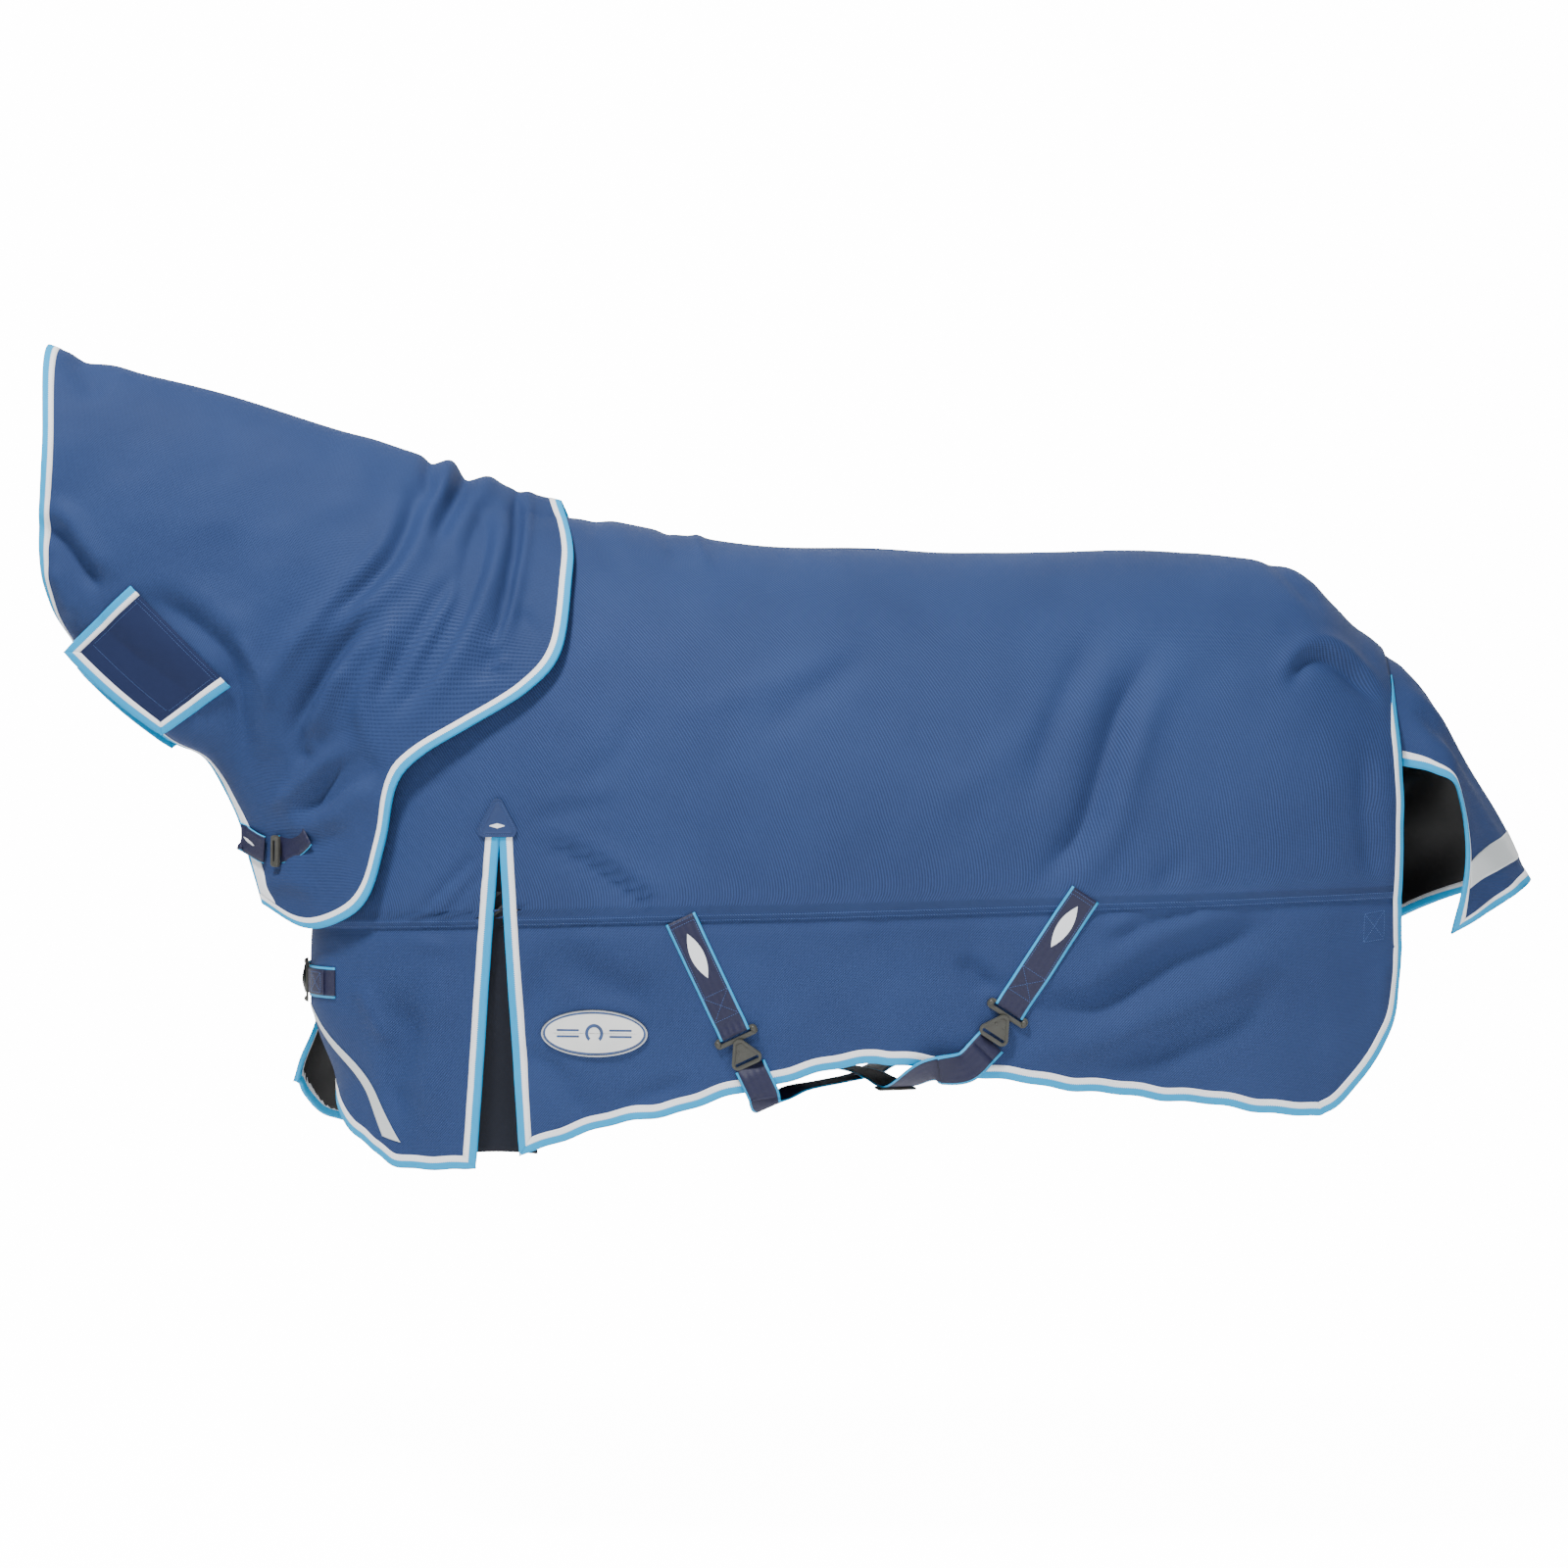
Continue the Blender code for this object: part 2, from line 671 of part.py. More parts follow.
def neck_inset(turn, at_face):
    """Share of the neck cover's length that the edge tape takes at a turn."""
    if at_face:
        return TAPE_WIDTH / ((neck(0.02, turn) - neck(0.0, turn)).length / 0.02)
    return TAPE_WIDTH / ((neck(1.0, turn) - neck(0.98, turn)).length / 0.02)


THROAT_TURN = 1 - TAPE_WIDTH / THROAT_TURN_LENGTH
NECK_ROWS = 30


def neck_sheets():
    extra = 1 + SEAM_GAP / TAPE_WIDTH

    def place(share, across, depth):
        turn = (2 * across - 1) * (THROAT_TURN - SEAM_GAP / THROAT_TURN_LENGTH)
        start = neck_inset(turn, True) * extra
        end = 1 - neck_inset(turn, False) * extra
        return lifted(neck, start + (end - start) * share, turn, -depth, 0.002)

    under = layer_depth(2)
    sheet("neck_cover", 10, NECK_ROWS, lambda u, v: place(u, v, 0.0), OUTER_THICKNESS, "outer_fabric")
    sheet("neck_lining", 10, NECK_ROWS, lambda u, v: place(u, v, under), LINING_THICKNESS, "lining_fabric")


def tape_turn(across):
    """Turn of an edge tape's row: those of the cloth beside it, and one more at each end."""
    rows = NECK_ROWS + 2
    row = across * rows - 1
    inner = (2 * row / NECK_ROWS - 1) * (THROAT_TURN - SEAM_GAP / THROAT_TURN_LENGTH)
    return max(-1.0, min(1.0, inner)) if 0 <= round(row) <= NECK_ROWS else math.copysign(1.0, inner)


def neck_tapes():
    depth = layer_depth(3) + 2 * TAPE_PROUD
    extra = 1 + SEAM_GAP / TAPE_WIDTH

    def face_tape(share, across):
        turn = tape_turn(across)
        return lifted(neck, neck_inset(turn, True) * share, turn, TAPE_PROUD, 0.002)

    def shoulder_tape(share, across):
        turn = tape_turn(across)
        return lifted(neck, 1 - neck_inset(turn, False) * (1 - share), turn, TAPE_PROUD, 0.002)

    sheet("neck_face_tape", 1, NECK_ROWS + 2, face_tape, depth, "binding_tape")
    sheet("neck_shoulder_tape", 1, NECK_ROWS + 2, shoulder_tape, depth, "binding_tape")
    for name, side in SIDES:

        def throat_tape(share, across):
            low = across if side > 0 else 1 - across
            turn = side * (THROAT_TURN + (1 - THROAT_TURN) * low)
            start = neck_inset(turn, True) * extra
            end = 1 - neck_inset(turn, False) * extra
            return lifted(neck, start + (end - start) * share, turn, TAPE_PROUD, 0.002)

        sheet(f"throat_tape_{name}", 16, 1, throat_tape, depth, "binding_tape")


# ---------------------------------------------------------------------------------------------
# Tail flap


def tail_flap():
    tape_share = TAPE_WIDTH / FLAP_LENGTH
    tape_turn = 1 - TAPE_WIDTH / FLAP_TURN_LENGTH
    band = REFLECTIVE_WIDTH / FLAP_LENGTH
    depth = layer_depth(3) + 2 * TAPE_PROUD

    def cloth(share, across, lift):
        turn = (2 * across - 1) * (tape_turn - 3.3 * SEAM_GAP / FLAP_TURN_LENGTH)
        return lifted(flap, share * (1 - tape_share - SEAM_GAP / FLAP_LENGTH), turn, lift)

    def strip(share, across):
        turn = (2 * across - 1) * (tape_turn - 0.01)
        start = FLAP_BAND_END - band
        return lifted(flap, start + band * share, turn, TRIM_LIFT + 0.0006)

    sheet("tail_flap", 14, 10, lambda u, v: cloth(u, v, 0.0), OUTER_THICKNESS, "outer_fabric")
    under = layer_depth(2)
    sheet("tail_lining", 14, 10, lambda u, v: cloth(u, v, -under), LINING_THICKNESS, "lining_fabric")
    sheet("tail_reflective_band", 1, 20, strip, 0.0006, "reflective_tape")

    def tape(share, across):
        """Round the flap: down its left edge, across its foot and up its right edge."""
        side_run = 0.38
        if share < side_run:
            spot = (share / side_run, -1.0)
            inner = (min(spot[0], 1 - tape_share), -tape_turn)
        elif share > 1 - side_run:
            spot = ((1 - share) / side_run, 1.0)
            inner = (min(spot[0], 1 - tape_share), tape_turn)
        else:
            turn = (share - 0.5) / (0.5 - side_run)
            spot = (1.0, turn)
            inner = (1 - tape_share, turn * tape_turn)
        a = spot[0] + (inner[0] - spot[0]) * across
        b = spot[1] + (inner[1] - spot[1]) * across
        return lifted(flap, a, b, TAPE_PROUD)

    thing = sheet("tail_tape", 42, 1, tape, depth, "binding_tape")
    face_outwards(thing)


# ---------------------------------------------------------------------------------------------
# Marks and strips


def marks():
    seat = side_seat(-0.297, -0.770, LEFT, TRIM_LIFT, (0.0, 1.0))
    plate("side_badge", [oval(BADGE_LENGTH, BADGE_HEIGHT)], BADGE_THICKNESS, seat, "badge_face")
    half = PATCH_WIDTH / 2
    corners = [(-half, -PATCH_HEIGHT / 2), (half, -PATCH_HEIGHT / 2), (0.0, PATCH_HEIGHT / 2 + 0.006)]
    for name, side in SIDES:
        seat = side_seat(GUSSET_X - 0.002, GUSSET_TOP + 0.031, side, TRIM_LIFT + 0.0004, (0.0, 1.0))
        plate(f"gusset_patch_{name}", [rounded(corners, 0.008)], PATCH_THICKNESS, seat, "patch_rubber")


def chest_strips():
    """Reflective strips that run from the chest edge down to the hem."""
    for name, side in SIDES:

        def place(share, across):
            low = 1 - across if side < 0 else across
            run = 0.030 + 0.115 * share + REFLECTIVE_WIDTH * low
            z_top = -0.730 - 0.020 * low
            z_low = -0.928 - 0.030 * low
            z = z_top + (z_low - z_top) * share
            return on_body(run * GRADE_X, z * GRADE_Z, side, TRIM_LIFT + 0.0006)

        thing = sheet(f"chest_reflective_{name}", 8, 3, place, 0.0006, "reflective_tape")
        face_outwards(thing)


# ---------------------------------------------------------------------------------------------
# Webbing and fastenings


def ribbon(name, path, widths, normals, thickness, rows, material):
    """Webbing along a path: widths are half-width vectors and normals point to its outer face."""
    count = len(path) - 1

    def place(share, across):
        index = round(share * count)
        return path[index] + widths[index] * (2 * across - 1) + normals[index] * thickness

    return sheet(name, count, rows, place, thickness, material)


def side_webbing(name, side, start, end, width, lift):
    """Webbing sewn flat on a side, from one place to another, each (x, z)."""
    start = Vector(start)
    end = Vector(end)
    ahead = (end - start).normalized()
    left = Vector((-ahead.y, ahead.x)) * (width / 2 / GRADE_X)

    def place(share, across):
        spot = start.lerp(end, share) + left * (2 * across - 1) * (-1 if side < 0 else 1)
        return on_side(spot.x, spot.y, side, lift + WEBBING_THICKNESS)

    thing = sheet(name, 6, 3, place, WEBBING_THICKNESS, "webbing")
    face_outwards(thing)


def hook_plate(name, seat, width):
    """A wide hook bar: round ends, a slot for the webbing and a bar for the clip."""
    body = rounded(box_outline(width, HOOK_DEPTH), HOOK_DEPTH * 0.48, 4)
    slot = rounded(box_outline(width - 0.016, HOOK_DEPTH * 0.30, (0, HOOK_DEPTH * 0.08)), 0.0015, 2)
    plate(name, [body, slot], HOOK_THICKNESS, seat, "moulded_plastic")


def clip_plate(name, seat, side_length):
    """A rounded triangular clip: its point meets the hook and its foot holds the webbing."""
    height = side_length * 0.86
    half = side_length / 2
    corners = [(0.0, height / 2), (half, -height / 2), (-half, -height / 2)]
    slot = rounded(box_outline(side_length * 0.62, 0.005, (0, -height / 2 + 0.009)), 0.0015, 2)
    plate(name, [rounded(corners, side_length * 0.13, 4), slot], CLIP_THICKNESS, seat, "moulded_plastic")


FRONT_ANCHOR = ((-0.162, -0.589), (-0.078, -0.765))
REAR_ANCHOR = ((0.468, -0.550), (0.352, -0.727))


def anchor_sets():
    """Sewn webbing, hook bar and clip at each end of the two surcingles."""
    for place, (start, end) in (("front", FRONT_ANCHOR), ("rear", REAR_ANCHOR)):
        ahead = (Vector(end) - Vector(start)).normalized()
        hook_at = Vector(end) + ahead * (HOOK_DEPTH / 2 + FIT_GAP)
        clip_at = hook_at + ahead * (HOOK_DEPTH / 2 + CLIP_SIDE * 0.43 + FIT_GAP)
        for name, side in SIDES:
            side_webbing(f"{place}_anchor_{name}", side, start, end, WEBBING_WIDTH, TRIM_LIFT)
            seat = side_seat(hook_at.x, hook_at.y, side, TRIM_LIFT + 0.002, -ahead)
            hook_plate(f"{place}_hook_{name}", seat, HOOK_WIDTH)
            seat = side_seat(clip_at.x, clip_at.y, side, TRIM_LIFT + 0.004, -ahead)
            clip_plate(f"{place}_clip_{name}", seat, CLIP_SIDE)


def clip_foot(place, side):
    """Where a surcingle leaves its clip, and the direction it leaves in."""
    start, end = FRONT_ANCHOR if place == "front" else REAR_ANCHOR
    ahead = (Vector(end) - Vector(start)).normalized()
    foot = Vector(end) + ahead * (HOOK_DEPTH + CLIP_SIDE * 0.86 + 0.008)
    return on_side(foot.x, foot.y, side, TRIM_LIFT + 0.004), Vector((ahead.x, 0, ahead.y))


CHEST_LEVEL = -0.700
CHEST_STRAP_LENGTH = 0.052
WITHER_LINK_TURN = 0.34
BELLY_LEVELS = {"a": -0.862, "b": -0.855}


def surcingle_knots(side, level):
    """Places and outer directions along a belly strap, from its front clip to its rear clip."""
    front, front_way = clip_foot("front", side)
    rear, rear_way = clip_foot("rear", -side)
    out_front = Vector((0, side, 0))
    out_rear = Vector((0, -side, 0))
    down = Vector((0, 0, -1))
    level *= GRADE_Z
    middle = Vector((0.130 * GRADE_X, 0, level))
    turn_front = Vector((front.x + 0.060, side * (abs(front.y) - 0.075), level))
    turn_rear = Vector((rear.x - 0.128, -side * (abs(rear.y) - 0.075), level))
    over_hem = Vector((rear.x - 0.085, -side * (abs(rear.y) + 0.002), level + 0.030))
    return [
        (front, out_front),
        (front + front_way * 0.028 + out_front * 0.002, out_front),
        (front + front_way * 0.050 - out_front * 0.008, out_front + down * 1.2),
        (turn_front, down),
        (turn_front.lerp(middle, 0.5), down),
        (middle, down),
        (middle.lerp(turn_rear, 0.5), down),
        (turn_rear, down),
        (over_hem, out_rear + down * 0.8),
        (rear + rear_way * 0.030 + Vector((-0.012, 0, 0)) + out_rear * 0.004, out_rear),
        (rear, out_rear),
    ]


def surcingles():
    """Two belly straps that cross under the horse, from a front clip to the other side's rear clip."""
    for name, side in (("a", LEFT), ("b", RIGHT)):
        knots = surcingle_knots(side, BELLY_LEVELS[name])
        count = 44
        line = smooth_line([(*place, *out.normalized()) for place, out in knots], count + 1)
        path = [Vector(row[:3]) for row in line]
        widths = []
        normals = []
        for index in range(count + 1):
            ahead = (path[min(index + 1, count)] - path[max(index - 1, 0)]).normalized()
            out = Vector(line[index][3:])
            out = (out - ahead * out.dot(ahead)).normalized()
            normals.append(out)
            widths.append(out.cross(ahead) * WEBBING_WIDTH / 2)
        ribbon(f"surcingle_{name}", path, widths, normals, WEBBING_THICKNESS, 1, "webbing")
        slide = 25
        foot = path[slide] + normals[slide] * (WEBBING_THICKNESS + FIT_GAP)
        seat = seat_on(foot, normals[slide], path[slide + 1] - path[slide - 1])
        frame = rounded(box_outline(WEBBING_WIDTH + 0.012, SLIDE_LENGTH), 0.004, 3)
        gap = SLIDE_LENGTH * 0.2
        slots = [rounded(box_outline(WEBBING_WIDTH, 0.006, (0, way * gap)), 0.001, 1) for way in (-1, 1)]
        plate(f"surcingle_slide_{name}", [frame, *slots], 0.0030, seat, "moulded_plastic")


# ---------------------------------------------------------------------------------------------
# Chest, throat and withers fastenings


def chest_fastening():
    """Webbing on each chest panel, joined across the chest by a hook bar, clip, strap and slide buckle."""
    level = CHEST_LEVEL * GRADE_Z
    for name, side, first in (("chest_anchor_left", LEFT, 0.052), ("chest_tab_right", RIGHT, 0.036)):

        def place(share, across):
            spot = -across if side < 0 else across
            z = level + (spot + (0.5 if side < 0 else -0.5)) * WEBBING_WIDTH
            return on_body(first + 0.085 * share, z, side, TRIM_LIFT + WEBBING_THICKNESS)

        thing = sheet(name, 5, 1, place, WEBBING_THICKNESS, "webbing")
        face_outwards(thing)
    foot = on_body(0.036, level, LEFT, TRIM_LIFT + 0.003)
    normal = on_body(0.036, level, LEFT, 0.02) - foot
    behind = on_body(0.060, level, LEFT) - on_body(0.036, level, LEFT)
    hook_plate("chest_hook", seat_on(foot, normal, behind), HOOK_WIDTH)
    front = PLAN[0][0] * GRADE_X - TRIM_LIFT - 0.009
    reach = CLIP_SIDE * 0.86
    clip_end = foot.y + HOOK_DEPTH / 2 + 0.003
    seat = seat_on(Vector((front, clip_end + reach / 2, level)), (-1, 0, 0), (0, -1, 0))
    clip_plate("chest_clip", seat, CLIP_SIDE)
    strap_start = clip_end + reach + 0.002
    path = [Vector((front - 0.001, strap_start + CHEST_STRAP_LENGTH * step / 4, level)) for step in range(5)]
    widths = [Vector((0, 0, WEBBING_WIDTH / 2))] * 5
    ribbon("chest_strap", path, widths, [Vector((-1, 0, 0))] * 5, WEBBING_THICKNESS, 1, "webbing")
    buckle_y = path[-1].y + 0.001 + SLIDE_LENGTH / 2
    frame = rounded(box_outline(WEBBING_WIDTH + 0.012, SLIDE_LENGTH), 0.004, 3)
    gap = SLIDE_LENGTH * 0.2
    slots = [rounded(box_outline(WEBBING_WIDTH, 0.006, (0, way * gap)), 0.001, 1) for way in (-1, 1)]
    seat = seat_on(Vector((front, buckle_y, level)), (-1, 0, 0), (0, -1, 0))
    plate("chest_buckle", [frame, *slots], 0.0035, seat, "moulded_plastic")


def throat_fastenings():
    """The touch-tape tab and its pad at the throat, and the clipped strap below them."""

    def tab(share, across, side, lift):
        sewn = (0.23 + 0.25 * share, side * (0.59 + 0.075 * share))
        free = (0.02 + 0.37 * share, side * (0.985 - 0.02 * share))
        low = 1 - across if side < 0 else across
        a = sewn[0] + (free[0] - sewn[0]) * low
        b = sewn[1] + (free[1] - sewn[1]) * low
        return lifted(neck, a, b, lift, 0.002)

    thing = sheet("throat_tab", 8, 6, lambda u, v: tab(u, v, LEFT, 0.0065), 0.003, "touch_tape")
    face_outwards(thing)
    thing = sheet("throat_pad", 8, 6, lambda u, v: tab(u, v, RIGHT, 0.0055), 0.003, "touch_tape")
    face_outwards(thing)
    share = 0.79
    turns = [0.86, 0.90, 0.94, 0.98, -0.99, -0.95, -0.91, -0.87]
    path = [lifted(neck, share, turn, 0.0046, 0.002) for turn in turns]
    ahead = neck(share + 0.03, 1.0) - neck(share - 0.03, 1.0)
    ahead.y = 0
    wide = ahead.normalized() * (NECK_WEBBING_WIDTH / 2)
    above = [lifted(neck, share, turn, 0.013, 0.002) for turn in turns]
    normals = [(high - low).normalized() for high, low in zip(above, path)]
    ribbon("neck_strap", path, [wide] * len(path), normals, WEBBING_THICKNESS, 1, "webbing")
    end = lifted(neck, share, -0.825, 0.004, 0.002)
    out = lifted(neck, share, -0.825, 0.02, 0.002) - end
    way = end - path[-1]
    seat = seat_on(end + way.normalized() * 0.006, out, way)
    body = rounded(box_outline(NECK_WEBBING_WIDTH + 0.006, 0.018), 0.005, 3)
    slot = rounded(box_outline(NECK_WEBBING_WIDTH - 0.010, 0.005, (0, -0.002)), 0.001, 1)
    plate("neck_clip", [body, slot], 0.005, seat, "moulded_plastic")


def wither_links():
    """Tabs on the body's neckline, and the hooks by which they hold the neck cover up."""
    for name, side in SIDES:
        turn = side * WITHER_LINK_TURN
        edge = neckline(turn)

        def tab(share, across):
            spot = turn + side * 0.045 * (2 * (across if side > 0 else 1 - across) - 1)
            return lifted(drape, edge - 0.009 - 0.020 * (1 - share), spot, -0.001)

        sheet(f"wither_tab_{name}", 2, 2, tab, WEBBING_THICKNESS, "webbing")
        foot = lifted(drape, edge - 0.042, turn, -0.003)
        normal = lifted(drape, edge - 0.042, turn, 0.01) - foot
        heading = drape(edge, turn) - drape(edge - 0.042, turn)
        hook_plate(f"wither_hook_{name}", seat_on(foot, normal, heading), WEBBING_WIDTH)


def hind_rings():
    """Rings inside the rear corners, for leg straps or a tail strap."""
    for name, side in SIDES:
        seat = side_seat(0.920, -0.700, side, -layer_depth(3) - 0.010, (0.0, 1.0))
        height = RING_SIZE * 0.8
        outer = rounded(box_outline(RING_SIZE, height), RING_SIZE * 0.2, 2)
        hole = box_outline(RING_SIZE - 2 * RING_BAR, height - 2 * RING_BAR)
        inner = rounded(hole, RING_SIZE * 0.1, 2)
        plate(f"hind_ring_{name}", [outer, inner], RING_BAR, seat, "moulded_plastic")


def main():
    clear_scene()
    new_collection("turnout_rug")
    new_collection("cutters", True)
    make_materials()
    back_panel()
    lower_panels()
    body_lining()
    gusset_panels()
    cut_gussets()
    body_tapes()
    neckline_tape()
    neck_sheets()
    neck_tapes()
    tail_flap()
    marks()
    chest_strips()
    anchor_sets()
    surcingles()
    chest_fastening()
    throat_fastenings()
    wither_links()
    hind_rings()


main()
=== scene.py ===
"""Turnout rug with a neck cover: its cloth, edge tapes, webbing and fastenings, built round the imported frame.

X runs along the horse with the head towards -X, the horse's left side is at -Y, +Z is up, and all sizes are
in metres. The draped surfaces below are those that the frame's own cloth was laid on, with folds added.
"""

import math

import bmesh
import bpy
import numpy as np
from mathutils import Matrix, Vector


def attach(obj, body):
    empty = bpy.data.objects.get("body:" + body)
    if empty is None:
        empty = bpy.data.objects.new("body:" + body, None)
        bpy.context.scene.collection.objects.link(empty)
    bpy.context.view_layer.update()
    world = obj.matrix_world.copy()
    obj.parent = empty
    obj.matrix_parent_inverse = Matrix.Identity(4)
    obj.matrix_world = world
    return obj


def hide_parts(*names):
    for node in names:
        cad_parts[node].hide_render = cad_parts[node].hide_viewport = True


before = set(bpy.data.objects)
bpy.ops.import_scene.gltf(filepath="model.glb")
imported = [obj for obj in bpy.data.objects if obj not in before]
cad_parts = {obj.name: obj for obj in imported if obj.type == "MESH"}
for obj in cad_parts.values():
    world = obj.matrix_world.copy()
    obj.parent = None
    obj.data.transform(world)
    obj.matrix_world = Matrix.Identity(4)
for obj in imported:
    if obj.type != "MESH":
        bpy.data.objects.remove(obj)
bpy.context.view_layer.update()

LEFT, RIGHT = -1.0, 1.0
SIDES = (("left", LEFT), ("right", RIGHT))
MM = 0.001

# Cloth, tape and webbing.
SIDE_DROP = 0.900
OUTER_THICKNESS = 1.6 * MM
LINING_THICKNESS = 1.0 * MM
LINING_DEPTH = 4.6 * MM
LINING_SPREAD = 1.9
STACK_DEPTH = 6.0 * MM
TAPE_WIDTH = 21 * MM
TAPE_THICKNESS = 1.0 * MM
WEBBING_WIDTH = 50 * MM
WEBBING_THICKNESS = 2.0 * MM
NECK_WEBBING_WIDTH = 45 * MM
SEAM_LAP = 14 * MM
EDGE_INSET = 3.5 * MM

# Fastenings.
CLIP_SIDE = 64 * MM
CLIP_ASPECT = 0.86
HOOK_WIDTH = 72 * MM
HOOK_DEPTH = 16 * MM
SLIDE_LENGTH = 34 * MM
FIT_GAP = 0.6 * MM
TRIM_LIFT = 1.2 * MM

# Heights where the hanging side changes shape, and where the seam and the gusset are.
WIDE = -0.430
SEAM_FRONT = -0.614
SEAM_REAR = -0.562
HEM_TUCK = 0.10
HEM_TUCK_DEPTH = 0.50
REAR_TAPE_TOP = -0.205
NECKLINE_TOP = -0.425
NECKLINE_REACH = 0.347
NECKLINE_TURN = 1.16
CHEST_SWING = 0.042
GUSSET_X = -0.448
GUSSET_TOP = -0.461
GUSSET_BOTTOM = {"front": -0.487, "rear": -0.418}

TOPLINE = (
    (-0.780, 0.110), (-0.600, 0.090), (-0.460, 0.066), (-0.400, 0.058), (-0.366, 0.056), (-0.257, 0.045),
    (-0.140, 0.023), (0.000, 0.009), (0.290, -0.001), (0.614, 0.001), (0.788, -0.015), (0.862, -0.051),
    (0.928, -0.115), (0.961, -0.138), (0.983, -0.156),
)
HEM = (
    (-0.772, -0.880), (-0.766, -0.905), (-0.750, -0.928), (-0.719, -0.952), (-0.655, -0.978),
    (-0.588, -0.991), (-0.500, -0.988), (-0.396, -0.960), (-0.301, -0.923), (-0.182, -0.897),
    (-0.049, -0.856), (0.050, -0.830), (0.130, -0.812), (0.193, -0.818), (0.474, -0.858), (0.664, -0.881),
    (0.823, -0.903), (0.857, -0.897), (0.900, -0.862), (0.943, -0.807), (0.970, -0.741), (0.983, -0.640),
)
PLAN = (
    (-0.772, 0.045), (-0.767, 0.095), (-0.735, 0.150), (-0.660, 0.205), (-0.550, 0.245), (-0.400, 0.272),
    (-0.200, 0.300), (0.050, 0.330), (0.250, 0.335), (0.500, 0.322), (0.700, 0.300), (0.850, 0.268),
    (0.950, 0.225), (0.983, 0.200),
)
NECK_CREST = (
    (-1.212, 0.342), (-1.117, 0.308), (-0.931, 0.263), (-0.757, 0.208), (-0.592, 0.158), (-0.456, 0.108),
    (-0.367, 0.084),
)
NECK_THROAT = (
    (-1.164, -0.154), (-1.090, -0.240), (-1.012, -0.306), (-0.952, -0.337), (-0.916, -0.393),
    (-0.890, -0.448), (-0.876, -0.503), (-0.849, -0.576),
)
NECK_FACE_EDGE = ((-1.212, 0.342), (-1.198, 0.167), (-1.205, 0.006), (-1.193, -0.089), (-1.164, -0.154))
NECK_SHOULDER_EDGE = (
    (-0.367, 0.084), (-0.341, 0.011), (-0.338, -0.050), (-0.351, -0.168), (-0.401, -0.231),
    (-0.490, -0.286), (-0.571, -0.335), (-0.612, -0.381), (-0.632, -0.470), (-0.660, -0.560),
    (-0.710, -0.600), (-0.775, -0.612), (-0.849, -0.576),
)
SHOULDER_SPAN = (
    (-0.980, 0.000), (-0.900, 0.030), (-0.850, 0.060), (-0.800, 0.105), (-0.772, 0.128), (-0.735, 0.158),
    (-0.660, 0.207), (-0.550, 0.247), (-0.400, 0.274), (-0.200, 0.302),
)
NECK_HALF_WIDTH = 0.125
NECK_HALF_ANGLE = math.radians(174)
NECK_REAR_WIDENING = 1.35
NECK_CLEARANCE = 0.017
THROAT_OPENING = 0.36
FLAP_MIDDLE = ((0.987, 0.000, -0.168), (1.031, 0.000, -0.208), (1.126, 0.000, -0.362), (1.230, 0.000, -0.540))
FLAP_EDGE = (
    (0.989, -0.172, -0.350), (1.040, -0.172, -0.362), (1.083, -0.165, -0.392), (1.098, -0.150, -0.500),
    (1.078, -0.120, -0.623),
)
FLAP_BAND = (0.80, 0.905)

